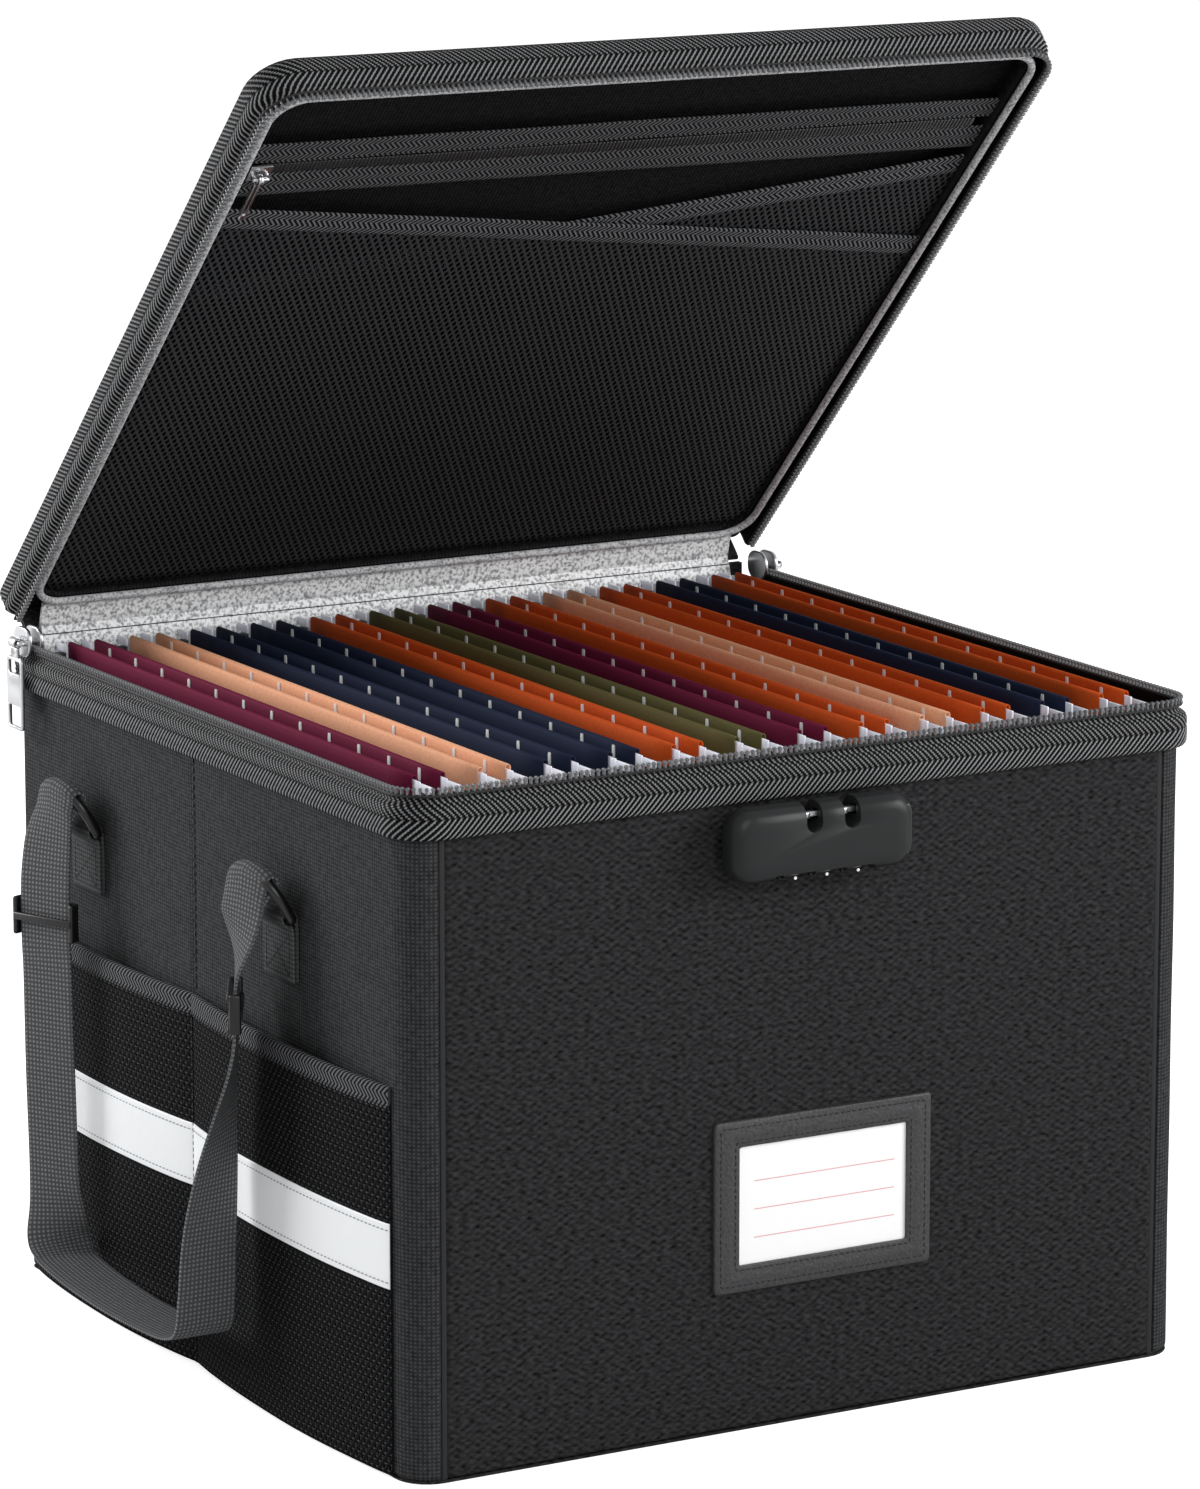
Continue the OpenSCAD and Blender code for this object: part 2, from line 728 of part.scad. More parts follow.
module pocket_bindings() {
    color([0.15, 0.15, 0.15]) for (m = [0, 1]) mirror([m, 0, 0])
        bowed_sheet(0, mesh_cloth + 0.4, pocket_h - mouth_h, pocket_h);
}

module reflective_strips() {
    color([0.92, 0.92, 0.93]) for (m = [0, 1]) mirror([m, 0, 0])
        bowed_sheet(mesh_cloth, 0.6, reflector_z[0], reflector_z[1]);
}

// ---- rings, tabs and handles ------------------------------------------------------------

tab_w = 25;
tab_h = 25;
tab_t = 1.6;
loop_r = ring_r + edge + 0.05;
loop_t = 1.4;
loop_w = min(tab_w, ring_w - 2 * ring_r - 2 * edge);   // passes between the ring's legs
bar_x = half_w + tab_t + loop_r + 0.2;   // the ring's hinge line, out from the middle
bend_r = 11;

// Stitched webbing tabs, each with a loop that holds the straight bar of a ring
module ring_tabs() {
    color([0.35, 0.35, 0.36]) for (m = [0, 1], y = ring_y) mirror([m, 0, 0])
        translate([-half_w, y, 0]) difference() {
            union() {
                translate([-tab_t, -tab_w / 2, ring_z - tab_h])
                    cube([tab_t, tab_w, tab_h]);
                translate([half_w - bar_x, loop_w / 2, ring_z]) rotate([90, 0, 0])
                    cylinder(r = loop_r + loop_t, h = loop_w);
            }
            translate([half_w - bar_x, tab_w, ring_z]) rotate([90, 0, 0])
                cylinder(r = loop_r, h = 2 * tab_w);
            translate([0, -tab_w, 0]) cube([20, 2 * tab_w, body_h]);
        }
}

// D ring: straight bar along Y, two legs, bent shoulders and a short flat crown
module d_ring() {
    half = ring_w / 2;
    leg = ring_h - bend_r;
    rotate([90, 0, 0]) cylinder(r = ring_r, h = ring_w, center = true);
    for (s = [-1, 1]) {
        translate([0, s * half, 0]) sphere(r = ring_r);
        translate([0, s * half, 0]) cylinder(r = ring_r, h = leg);
        translate([0, s * (half - bend_r), leg]) rotate([0, -90, 0])
            rotate(s > 0 ? 0 : 270) rotate_extrude(angle = 90)
                translate([bend_r, 0]) circle(r = ring_r);
    }
    translate([0, 0, ring_h]) rotate([90, 0, 0])
        cylinder(r = ring_r, h = ring_w - 2 * bend_r, center = true);
}

module rings_left() {
    for (y = ring_y) translate([-bar_x, y, ring_z]) rotate([0, -ring_tilt, 0]) d_ring();
}

module left_rings() {
    color([0.05, 0.05, 0.05]) rings_left();
}

module right_rings() {
    color([0.05, 0.05, 0.05]) mirror([1, 0, 0]) rings_left();
}

crown_x = -bar_x - ring_h * sin(ring_tilt);
crown_z = ring_z + ring_h * cos(ring_tilt);
wrap_r = ring_r + 0.85 + strap_t / 2;    // webbing round the ring's crown

// Place of the webbing where it leaves a ring
handle_x = crown_x - wrap_r;
head_w = strap_w * 12 / 25;

// Webbing doubled over a ring's crown, from the sewn-down tail to the outer side
function over_crown(y, turn) = concat(
    [[handle_x + strap_t + 0.25, y, crown_z - 15, turn, head_w],
        [handle_x + strap_t + 0.8, y, crown_z - 10, turn, head_w],
        [crown_x + wrap_r - 1.6, y, crown_z - 4, turn, head_w]],
    [for (a = [0:20:180])
        [crown_x + wrap_r * cos(a), y, crown_z + wrap_r * sin(a), turn, head_w]]);

// Free run of the handle: x out from the ring, y, z, turn of its width, width
hang = ring_z / 198;                     // the run is drawn for rings 198 above the floor
run_points = [[0, 106, 210, 0, 12], [-0.5, 106, 204, 6, 17],
    [-2.5, 107, 194, 26, 23], [-5, 108.5, 184, 54, 25], [-6, 109, 177, 64, 25],
    [-6, 109, 155, 64, 25], [-6.5, 110, 143, 76, 25],
    [-7, 111, 120, 88, 25], [-7, 112, 90, 90, 25],
    [-7, 112, 60, 90, 25], [-7, 111, 38, 90, 25], [-7, 105, 24, 90, 25],
    [-7, 92, 16, 90, 25], [-7, 70, 12, 90, 25], [-7, 40, 11, 90, 25],
    [-7, 10, 13, 90, 25], [-7, -15, 17, 90, 25], [-7, -33, 23, 90, 25],
    [-7, -43, 32, 90, 25], [-7, -46, 48, 92, 25], [-7, -47, 70, 98, 25],
    [-7, -48, 95, 112, 25], [-7, -50, 120, 132, 25], [-6.7, -52, 138, 147, 25],
    [-6.5, -53, 149, 152, 25], [-6.5, -53, 171, 152, 25], [-4.5, -57, 183, 162, 25],
    [-2, -62, 195, 174, 23],
    [-0.5, -64, 204, 178, 17], [0, -64, 210, 180, 12]];

// Share of the way from the rear ring to the front one, and the same share of their places
function run_y(y) = ring_y[0] + (y - 106) / 170 * (ring_y[0] - ring_y[1]);
free_run = [for (p = run_points)
    [p[0] * hang, run_y(p[1]), p[2] * hang, p[3], p[4] * strap_w / 25]];

// Point a share t of the way from b to c on a smooth curve through a, b, c, d
function blend4(a, b, c, d, t) = 0.5 * (2 * b + (c - a) * t
    + (2 * a - 5 * b + 4 * c - d) * t * t + (3 * b - a - 3 * c + d) * t * t * t);

function smooth(route, steps) = concat([for (i = [0:len(route) - 2], j = [0:steps - 1])
    let (a = route[max(i - 1, 0)], d = route[min(i + 2, len(route) - 1)])
    blend4(a, route[i], route[i + 1], d, j / steps)], [route[len(route) - 1]]);

function turned_round(list) = [for (i = [len(list) - 1:-1:0]) list[i]];

function unit(v) = v / norm(v);

// Four corners of the webbing's section at one place, square to its run
function band_corners(p, dir, turn, wide, thick) =
    let (side = [-sin(turn), cos(turn), 0], flat = unit(side - (side * dir) * dir),
        out = cross(flat, dir))
    [for (s = [[-1, -1], [1, -1], [1, 1], [-1, 1]])
        p + flat * (s[0] * wide / 2) + out * (s[1] * thick / 2)];

// Closed band swept along points [x, y, z, turn, width]
module webbing(route, thick) {
    n = len(route);
    at = [for (r = route) [r[0], r[1], r[2]]];
    rings = [for (i = [0:n - 1]) band_corners(at[i],
        unit(at[min(i + 1, n - 1)] - at[max(i - 1, 0)]), route[i][3], route[i][4], thick)];
    polyhedron(points = [for (r = rings, p = r) p],
        faces = concat([[0, 1, 2, 3]], [[for (k = [3:-1:0]) (n - 1) * 4 + k]],
            [for (i = [0:n - 2], k = [0:3]) let (a = i * 4 + k, b = i * 4 + (k + 1) % 4)
                each [[a, a + 4, b + 4], [a, b + 4, b]]]));
}

handle_path = concat(over_crown(ring_y[0], 0),
    smooth([for (r = free_run) [r[0] + handle_x, r[1], r[2], r[3], r[4]]], 2),
    turned_round(over_crown(ring_y[1], 180)));

module strap_left() {
    webbing(handle_path, strap_t);
}

module left_strap() {
    color([0.38, 0.38, 0.39]) strap_left();
}

module right_strap() {
    color([0.38, 0.38, 0.39]) mirror([1, 0, 0]) strap_left();
}

glide_l = 19 * hang;
glide_w = strap_w + 6;

// Three-bar glide: side rails with end bars in front of the webbing and one behind
module glide() {
    play = strap_t / 2 + 0.45;
    for (s = [-1, 1]) translate([s * (glide_w / 2 - 1) - 1, -2.2, -glide_l / 2])
        cube([2, 4.4, glide_l]);
    for (z = [-glide_l / 2, glide_l / 2 - 2.5])
        translate([-glide_w / 2, -play - 1.8, z]) cube([glide_w, 1.8, 2.5]);
    translate([-glide_w / 2, play, -1.5]) cube([glide_w, 1.6, 3]);
}

module glides_left() {
    translate([handle_x - 6 * hang, run_y(109), 166 * hang]) rotate(90 + 64) glide();
    translate([handle_x - 6.5 * hang, run_y(-53), 160 * hang]) rotate(90 + 152) glide();
}

module left_glides() {
    color([0.05, 0.05, 0.05]) glides_left();
}

module right_glides() {
    color([0.05, 0.05, 0.05]) mirror([1, 0, 0]) glides_left();
}

// ---- lock -----------------------------------------------------------------------------

lock_z = body_h - lock_drop;
slot_x = [lock_x - 5.5, lock_x + 11];    // slots that take the two zip pulls
slot_w = 7;
slot_depth = 11;
dial_w = 7;
dial_y = -half_d - 9;
dial_z = lock_z - lock_h / 2 + dial_r - 0.4;
spindle_r = 1.8;
button_x = lock_x + lock_w / 2 - 6;
button_h = 19;
button_t = 9;
button_y = -half_d - 8;
press = 4.5;
latch_z = lock_z + lock_h / 2 - 5;
latch_y = -half_d - 11;

// Front view of the housing: rounded block with two feet and a recess between them
module lock_face() {
    r = 9;
    w = lock_w / 2;
    h = lock_h / 2;
    difference() {
        union() {
            translate([-w + r, -h]) square([lock_w - 2 * r, lock_h]);
            translate([-w, -h + r]) square([lock_w, lock_h - 2 * r]);
            for (x = [-w + r, w - r], y = [-h + r, h - r]) translate([x, y]) circle(r = r);
        }
        translate([-w + 17, -h - 1]) square([lock_w - 34, 3]);
        for (x = [-w + 17, w - 17]) translate([x, -h - 1]) circle(r = 3);
    }
}

// Side view: flat back, full rounded front edges
module lock_side() {
    h = lock_h / 2;
    r = 6;
    union() {
        translate([0, -h]) square([lock_t - r, lock_h]);
        translate([0, -h + r]) square([lock_t, lock_h - 2 * r]);
        for (y = [-h + r, h - r]) translate([lock_t - r, y]) circle(r = r);
    }
}

// Top view: ends drawn in towards the front
module lock_top() {
    r = 8;
    w = lock_w / 2;
    union() {
        translate([-w, 0]) square([lock_w, lock_t - r]);
        translate([-w + r, 0]) square([lock_w - 2 * r, lock_t]);
        for (x = [-w + r, w - r]) translate([x, lock_t - r]) circle(r = r);
    }
}

module lock_block() {
    intersection() {
        translate([lock_x, -half_d, lock_z]) rotate([90, 0, 0]) linear_extrude(lock_t) lock_face();
        translate([lock_x - lock_w, -half_d, lock_z]) rotate([90, 0, 90]) mirror([1, 0, 0])
            linear_extrude(2 * lock_w) lock_side();
        translate([lock_x, -half_d, lock_z - lock_h]) mirror([0, 1, 0])
            linear_extrude(2 * lock_h) lock_top();
    }
}

function dial_at(i) = lock_x + (i - 2) * dial_pitch;

module lock_housing() {
    color([0.2, 0.2, 0.21]) difference() {
        lock_block();
        for (i = [1:3]) translate([dial_at(i) - dial_w / 2 - edge, dial_y, dial_z])
            rotate([0, 90, 0]) difference() {
                cylinder(r = dial_r + 0.5, h = dial_w + 2 * edge);
                translate([0, 0, -1]) cylinder(r = spindle_r, h = dial_w + 4);
            }
        for (x = slot_x) translate([x, 0, lock_z + lock_h / 2]) rotate([90, 0, 0])
            linear_extrude(half_d + lock_t + 1) union() {
                translate([-slot_w / 2, -slot_depth + slot_w / 2])
                    square([slot_w, slot_depth]);
                translate([0, -slot_depth + slot_w / 2]) circle(d = slot_w);
            }
        translate([slot_x[0] - slot_w / 2 - press - 1, latch_y - 1.5 - edge,
            latch_z - 1.2 - edge])
            cube([lock_w, 3 + 2 * edge, 2.4 + 2 * edge]);
        translate([button_x - press - 1, button_y - button_t / 2 - edge,
            lock_z - button_h / 2 - edge])
            cube([lock_w, button_t + 2 * edge, button_h + 2 * edge]);
    }
}

// Number wheel with ten finger grooves
module dial(i) {
    color([0.08, 0.08, 0.08]) translate([dial_at(i) - dial_w / 2, dial_y, dial_z])
        rotate([0, 90, 0]) difference() {
            cylinder(r = dial_r, h = dial_w);
            translate([0, 0, -1]) cylinder(r = spindle_r + 0.3, h = dial_w + 2);
            for (k = [0:9]) rotate(k * 36) translate([dial_r + 0.5, 0, -1])
                cylinder(r = 1.2, h = dial_w + 2);
        }
}

// Push button in the right end of the housing, with a rounded outer face
module lock_button() {
    color([0.28, 0.28, 0.29]) translate([button_x, button_y, lock_z]) intersection() {
        rotate([0, 90, 0]) linear_extrude(20) union() {
            square([button_h - button_t, button_t], center = true);
            for (s = [-1, 1]) translate([s * (button_h - button_t) / 2, 0])
                circle(d = button_t);
        }
        translate([-lock_w / 2 + 6.5, -button_y - half_d, -lock_h]) mirror([0, 1, 0])
            linear_extrude(2 * lock_h) lock_top();
    }
}

// Steel bar behind the slots with a finger across each of them
module lock_latch() {
    left = slot_x[0] - slot_w / 2 - 0.5;
    right = button_x;
    color([0.85, 0.85, 0.86]) translate([0, latch_y - 1.5, latch_z - 1.2]) difference() {
        translate([left, 0, 0]) cube([right - left, 3, 2.4]);
        for (x = slot_x) translate([x - slot_w / 2 + 4, -1, -1])
            cube([slot_w, 3, 5]);
    }
}

// ---- what is drawn ---------------------------------------------------------------------

base_cover();
front_cover();
rear_cover();
left_cover();
right_cover();
base_board();
wall_boards();
body_lining();
front_rail();
rear_rail();
body_zip_tape();
body_zip_teeth();
label_holder();
label_card();
left_pocket();
right_pocket();
pocket_bindings();
reflective_strips();
ring_tabs();
lock_housing();
dial(1);  // lock_dial_1
dial(2);  // lock_dial_2
dial(3);  // lock_dial_3
lock_button();
lock_latch();
left_rings();
right_rings();
left_strap();
left_glides();
right_strap();
right_glides();
left_slider();
left_pull();
right_slider();
right_pull();
lid_cover();
lid_board();
lid_lining();
lid_zip_tape();
lid_zip_teeth();
lid_piping();
hinge_strip();
pocket_zip_tape();
pocket_zip_teeth();
pocket_slider();
pocket_pull();
inner_mesh_pocket();
outer_mesh_pocket();
folder(1);  // folder_01
folder(2);  // folder_02
folder(3);  // folder_03
folder(4);  // folder_04
folder(5);  // folder_05
folder(6);  // folder_06
folder(7);  // folder_07
folder(8);  // folder_08
folder(9);  // folder_09
folder(10);  // folder_10
folder(11);  // folder_11
folder(12);  // folder_12
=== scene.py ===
# %% [markdown]
# # Portable file box
# A zipped fabric box on boards, with coloured hanging folders inside, a combination lock on the
# front, a mesh pocket, a reflective strip and a webbing handle on each side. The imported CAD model
# is loaded first as a fixed frame: every piece made below is put where that frame says, in the
# same metres and the same axes (X to the right, Y to the back, Z up).

# %% Load the frame
import json
import math

import bmesh
import bpy
import numpy as np
from mathutils import Matrix, Vector


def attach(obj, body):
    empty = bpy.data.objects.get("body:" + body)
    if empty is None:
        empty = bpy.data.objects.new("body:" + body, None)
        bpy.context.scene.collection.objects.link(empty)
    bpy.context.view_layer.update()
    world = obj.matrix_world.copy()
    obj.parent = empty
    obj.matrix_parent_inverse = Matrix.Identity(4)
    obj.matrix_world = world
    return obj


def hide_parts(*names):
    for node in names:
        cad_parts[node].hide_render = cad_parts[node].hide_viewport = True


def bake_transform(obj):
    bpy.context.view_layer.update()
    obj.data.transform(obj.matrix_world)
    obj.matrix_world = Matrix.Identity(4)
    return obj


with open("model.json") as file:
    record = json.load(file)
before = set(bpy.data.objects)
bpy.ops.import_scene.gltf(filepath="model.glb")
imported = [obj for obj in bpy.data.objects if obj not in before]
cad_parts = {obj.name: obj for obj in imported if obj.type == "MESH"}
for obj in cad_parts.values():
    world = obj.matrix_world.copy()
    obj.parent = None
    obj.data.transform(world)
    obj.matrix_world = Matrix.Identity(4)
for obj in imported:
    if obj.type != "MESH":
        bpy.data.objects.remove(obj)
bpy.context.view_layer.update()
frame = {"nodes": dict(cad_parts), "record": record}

MM = 0.001
nodes = frame["nodes"]

# %% [markdown]
# ## Sizes shared by many pieces
# The sizes repeat those of the CAD source, in millimetres, so that cloth, zip and lid meet where
# the solids do. The rim plane is where the two rows of zip teeth meet when the lid is shut.

# %% Shared sizes
WIDE, DEEP, RIM = 342.0, 332.0, 264.0
CORNER, REAR_CORNER = 14.0, 3.0
TAPE_OUT = 2.4
HINGE_Y = DEEP / 2 + TAPE_OUT
LID_OPEN = math.radians(45)
LID_TOP = 20.0
FOLD_Y = 10.0
TOOTH_PITCH = 2.35
SIDES = ((-1, "left"), (1, "right"))
print("box", WIDE, "x", DEEP, "x", RIM, "mm")


def on_lid(points):
    """Points drawn for the shut lid (x, y, height above the rim), turned about the hinge line
    to the open lid: y and z turn together by the opening angle round (HINGE_Y, RIM)."""
    points = np.asarray(points, float)
    c, s = math.cos(LID_OPEN), math.sin(LID_OPEN)
    y, z = points[..., 1] - HINGE_Y, points[..., 2]
    return np.stack([points[..., 0], HINGE_Y + y * c + z * s, RIM - y * s + z * c], -1)


def lid_way(direction):
    """A direction drawn for the shut lid, turned with it."""
    return on_lid(direction) - on_lid(np.zeros(3))


# %% [markdown]
# ## Camera
# The photograph looks down a little on the box's left front corner through a long lens. The
# camera's place, turn and focal length were worked out from the box's straight edges, so the
# picture needs no shift.

# %% Camera
camera = bpy.data.objects.new("camera", bpy.data.cameras.new("camera"))
bpy.context.scene.collection.objects.link(camera)
camera_from = Vector((-1.23946, -2.17318, 0.75969))
camera_turn = math.radians(29.7656)
camera_down = math.radians(11.9137)
view_dir = Vector((math.sin(camera_turn) * math.cos(camera_down),
                   math.cos(camera_turn) * math.cos(camera_down), -math.sin(camera_down)))
camera.matrix_world = (Matrix.Translation(camera_from)
                       @ view_dir.to_track_quat("-Z", "Y").to_matrix().to_4x4())
camera.data.sensor_fit = "HORIZONTAL"
camera.data.sensor_width = 36.0
camera.data.lens = 194.17
camera.data.clip_end = 50
bpy.context.scene.camera = camera
print("camera lens", camera.data.lens, "mm")

# %% [markdown]
# ## Floor, backdrop and light
# A product photograph on white: a large soft lamp from above the camera, two smaller and nearer
# ones from the left rear and the right front, and an even grey-white room. What the camera sees
# beyond the box is white, and the floor keeps the box's own soft shadow.


# %% Node helper and colours
def linear(hex_code):
    """sRGB hex to linear RGBA: divide by 255, then undo the sRGB curve."""
    c = np.array([int(hex_code[i:i + 2], 16) for i in (1, 3, 5)]) / 255
    c = np.where(c <= 0.04045, c / 12.92, ((c + 0.055) / 1.055) ** 2.4)
    return (*c.tolist(), 1.0)


def add(tree, kind, links=None, **settings):
    """Adds one shader node: settings are its properties, and links maps an input to a value, a
    socket, or a node whose first output is taken."""
    made = tree.nodes.new("ShaderNode" + kind)
    for key, value in settings.items():
        setattr(made, key, value)
    for key, value in (links or {}).items():
        if isinstance(value, bpy.types.Node):
            value = value.outputs[0]
        if isinstance(value, bpy.types.NodeSocket):
            tree.links.new(value, made.inputs[key])
        else:
            made.inputs[key].default_value = value
    return made


# %% World and lamps
scene = bpy.context.scene
scene.view_settings.view_transform = "Standard"
world = bpy.data.worlds.new("studio")
scene.world = world
world.use_nodes = True
tree = world.node_tree
tree.nodes.clear()
rays = add(tree, "LightPath")
through = add(tree, "Math", {0: rays.outputs["Is Camera Ray"],
                             1: rays.outputs["Is Transmission Ray"]}, operation="MAXIMUM")
shiny = add(tree, "Math", {0: rays.outputs["Is Glossy Ray"], 1: 0.5}, operation="MULTIPLY")
seen = add(tree, "Math", {0: through, 1: shiny}, operation="MAXIMUM")
room = add(tree, "Background", {"Color": linear("#ffffff"), "Strength": 0.42})
white = add(tree, "Background", {"Color": linear("#ffffff"), "Strength": 1.0})
mixed = add(tree, "MixShader", {0: seen, 1: room, 2: white})
add(tree, "OutputWorld", {"Surface": mixed})


def lamp(name, at, toward, size, watts):
    """A square soft lamp at a point, facing another point."""
    data = bpy.data.lights.new(name, "AREA")
    data.shape = "SQUARE"
    data.size = size
    data.energy = watts
    made = bpy.data.objects.new(name, data)
    scene.collection.objects.link(made)
    facing = (Vector(toward) - Vector(at)).to_track_quat("-Z", "Y").to_matrix().to_4x4()
    made.matrix_world = Matrix.Translation(Vector(at)) @ facing


lamp("key_lamp", (-0.7, -2.6, 1.7), (0, 0, 0.2), 1.4, 20)
lamp("left_lamp", (-1.2, 1.3, 0.8), (0, 0, 0.15), 0.9, 28)
lamp("right_lamp", (1.35, -1.2, 0.8), (0.15, 0, 0.2), 0.9, 21)

# %% Floor
floor_mesh = bpy.data.meshes.new("floor")
floor_mesh.from_pydata([(-6, -6, 0), (6, -6, 0), (6, 6, 0), (-6, 6, 0)], [], [(0, 1, 2, 3)])
floor = bpy.data.objects.new("floor", floor_mesh)
scene.collection.objects.link(floor)
floor_paint = bpy.data.materials.new("white_paper_sweep")
floor_paint.use_nodes = True
tree = floor_paint.node_tree
tree.nodes.clear()
paper = add(tree, "BsdfDiffuse", {"Color": linear("#e8e8e8")})
glow = add(tree, "Emission", {"Color": linear("#ffffff"), "Strength": 0.75})
lit = add(tree, "AddShader", {0: paper, 1: glow})
rays = add(tree, "LightPath")
seen = add(tree, "MixShader", {0: rays.outputs["Is Camera Ray"], 1: paper, 2: lit})
add(tree, "OutputMaterial", {"Surface": seen})
floor_mesh.materials.append(floor_paint)
print("floor ready")

# %% [markdown]
# ## Tools for shapes
# Almost every piece here is a sheet or a section carried along a line, so a few functions turn
# whole arrays of points into meshes: a grid of points becomes a skin, and a closed section swept
# along a path becomes a tape, a cord, a strap or a ring. The UV map of each is in metres along
# and across it, so a weave can follow the cloth at its real size.


# %% Mesh makers
def put_mesh(name, verts, quads, loop_uv=None, caps=(), smooth=40.0):
    """Vertices in millimetres and faces as indices become one mesh object in metres."""
    mesh = bpy.data.meshes.new(name)
    faces = np.asarray(quads).tolist() + [list(c) for c in caps]
    mesh.from_pydata((np.asarray(verts, float) * MM).tolist(), [], faces)
    layer = mesh.uv_layers.new(name="UVMap")
    flat = np.zeros((len(mesh.loops), 2), np.float32)
    if loop_uv is not None:
        made = np.asarray(loop_uv, np.float32).reshape(-1, 2) * MM
        flat[:len(made)] = made
    layer.data.foreach_set("uv", flat.ravel())
    mesh.polygons.foreach_set("use_smooth", np.ones(len(mesh.polygons), bool))
    mesh.update()
    if smooth:
        mesh.set_sharp_from_angle(angle=math.radians(smooth))
    made = bpy.data.objects.new(name, mesh)
    scene.collection.objects.link(made)
    return made


def quads_of(m, n, wrap_u=False, wrap_v=False):
    """Faces of an m by n grid: vertex numbers, and the same corners as unwrapped (i, j)."""
    i, j = np.meshgrid(np.arange(m - (not wrap_u)), np.arange(n - (not wrap_v)), indexing="ij")
    ij = np.stack([i.ravel(), j.ravel()], -1)[:, None] + np.array([[0, 0], [1, 0], [1, 1], [0, 1]])
    return (ij[..., 0] % m) * n + ij[..., 1] % n, ij


def lengths(points, axis, wrap):
    """Running length along one axis of a grid, averaged over the other, starting at 0."""
    if wrap:
        points = np.concatenate([points, np.take(points, [0], axis)], axis)
    step = np.linalg.norm(np.diff(points, axis=axis), axis=-1).mean(1 - axis)
    return np.concatenate([[0.0], np.cumsum(step)])


def skin(name, grid, wrap_u=False, wrap_v=False, uv=None, caps=False, smooth=40.0):
    """A surface from a grid of points (m, n, 3). caps closes the ends of a closed section."""
    grid = np.asarray(grid, float)
    m, n = grid.shape[:2]
    quads, ij = quads_of(m, n, wrap_u, wrap_v)
    if uv is None:
        u, v = lengths(grid, 0, wrap_u), lengths(grid, 1, wrap_v)
        uv = np.stack(np.meshgrid(u, v, indexing="ij"), -1)
    ends = [list(range(n - 1, -1, -1)), list(range((m - 1) * n, m * n))] if caps else ()
    return put_mesh(name, grid.reshape(-1, 3), quads, uv[ij[..., 0], ij[..., 1]], ends, smooth)


def unit(v):
    """Vectors scaled to length one."""
    return v / np.maximum(np.linalg.norm(v, axis=-1, keepdims=True), 1e-9)


def running(path):
    """Distance travelled along a path up to each of its points."""
    return np.concatenate([[0], np.cumsum(np.linalg.norm(np.diff(path, axis=0), axis=-1))])


def along(path, wrap=False):
    """Directions of travel at each point of a path, from its neighbours on both sides."""
    if wrap:
        return unit(np.roll(path, -1, 0) - np.roll(path, 1, 0))
    return unit(np.gradient(path, axis=0))


def sweep(name, path, across, section, wrap=False, smooth=40.0):
    """A closed section (n, 2) or (m, n, 2) carried along a path. across is the direction of the
    section's first axis at each point, made square to the path; the second is square to both."""
    path = np.asarray(path, float)
    run = along(path, wrap)
    across = np.broadcast_to(np.asarray(across, float), path.shape)
    across = unit(across - (across * run).sum(-1, keepdims=True) * run)
    other = np.cross(run, across)
    section = np.broadcast_to(section, (len(path), *np.asarray(section).shape[-2:]))
    grid = (path[:, None] + across[:, None] * section[..., :1] + other[:, None] * section[..., 1:])
    return skin(name, grid, wrap_u=wrap, wrap_v=True, caps=not wrap, smooth=smooth)


def pill(width, height, power=0.5, count=20):
    """Closed section between an oval (power 1) and a box (power near 0)."""
    t = np.linspace(0, 2 * np.pi, count, endpoint=False)
    c, s = np.cos(t), np.sin(t)
    return np.stack([np.sign(c) * np.abs(c) ** power * width / 2,
                     np.sign(s) * np.abs(s) ** power * height / 2], -1)


def arc(cx, cy, r, start, end, count=10):
    """Points on a circle from one angle in degrees to another."""
    t = np.radians(np.linspace(start, end, count))
    return np.stack([cx + r * np.cos(t), cy + r * np.sin(t)], -1)


def rounded_loop(left, right, low, high, radii, corner, straight=1):
    """Closed rounded rectangle, anticlockwise from its lower left corner: four arcs, with one
    radius for the lower two and one for the upper two, and straight runs cut into steps."""
    r, q = radii
    arcs = [arc(left + r, low + r, r, 180, 270, corner),
            arc(right - r, low + r, r, 270, 360, corner),
            arc(right - q, high - q, q, 0, 90, corner), arc(left + q, high - q, q, 90, 180, corner)]
    t = np.linspace(0, 1, straight + 1)[1:-1, None]
    runs = [one[-1] + (after[0] - one[-1]) * t for one, after in zip(arcs, arcs[1:] + arcs[:1])]
    return np.concatenate([part for pair in zip(arcs, runs) for part in pair])


def line(a, b, spacing=4.0):
    """Evenly spaced points from a to b."""
    a, b = np.asarray(a, float), np.asarray(b, float)
    count = max(2, int(np.linalg.norm(b - a) / spacing) + 1)
    return a + (b - a) * np.linspace(0, 1, count)[:, None]


def chain(*parts):
    """Joins runs of points and drops a point that repeats the one before it."""
    points = np.concatenate(parts)
    keep = np.concatenate([[True], np.linalg.norm(np.diff(points, axis=0), axis=-1) > 1e-6])
    return points[keep]


def resample(path, spacing):
    """The same path with points at one even spacing along it."""
    run = running(path)
    at = np.linspace(0, run[-1], max(2, int(round(run[-1] / spacing)) + 1))
    return np.stack([np.interp(at, run, path[:, k]) for k in range(path.shape[1])], -1)


def smooth_path(points, count):
    """A Catmull-Rom curve through the points, sampled evenly in each span."""
    p = np.asarray(points, float)
    p = np.concatenate([[2 * p[0] - p[1]], p, [2 * p[-1] - p[-2]]])
    t = np.linspace(0, 1, count, endpoint=False)[:, None]
    spans = [0.5 * (2 * b + (c - a) * t + (2 * a - 5 * b + 4 * c - d) * t * t
                    + (3 * b - a - 3 * c + d) * t ** 3)
             for a, b, c, d in zip(p[:-3], p[1:-2], p[2:-1], p[3:])]
    return np.concatenate(spans + [p[-2:-1]])


def modifier(piece, kind, **settings):
    """Adds a modifier with its settings."""
    made = piece.modifiers.new(kind.lower(), kind)
    for key, value in settings.items():
        setattr(made, key, value)


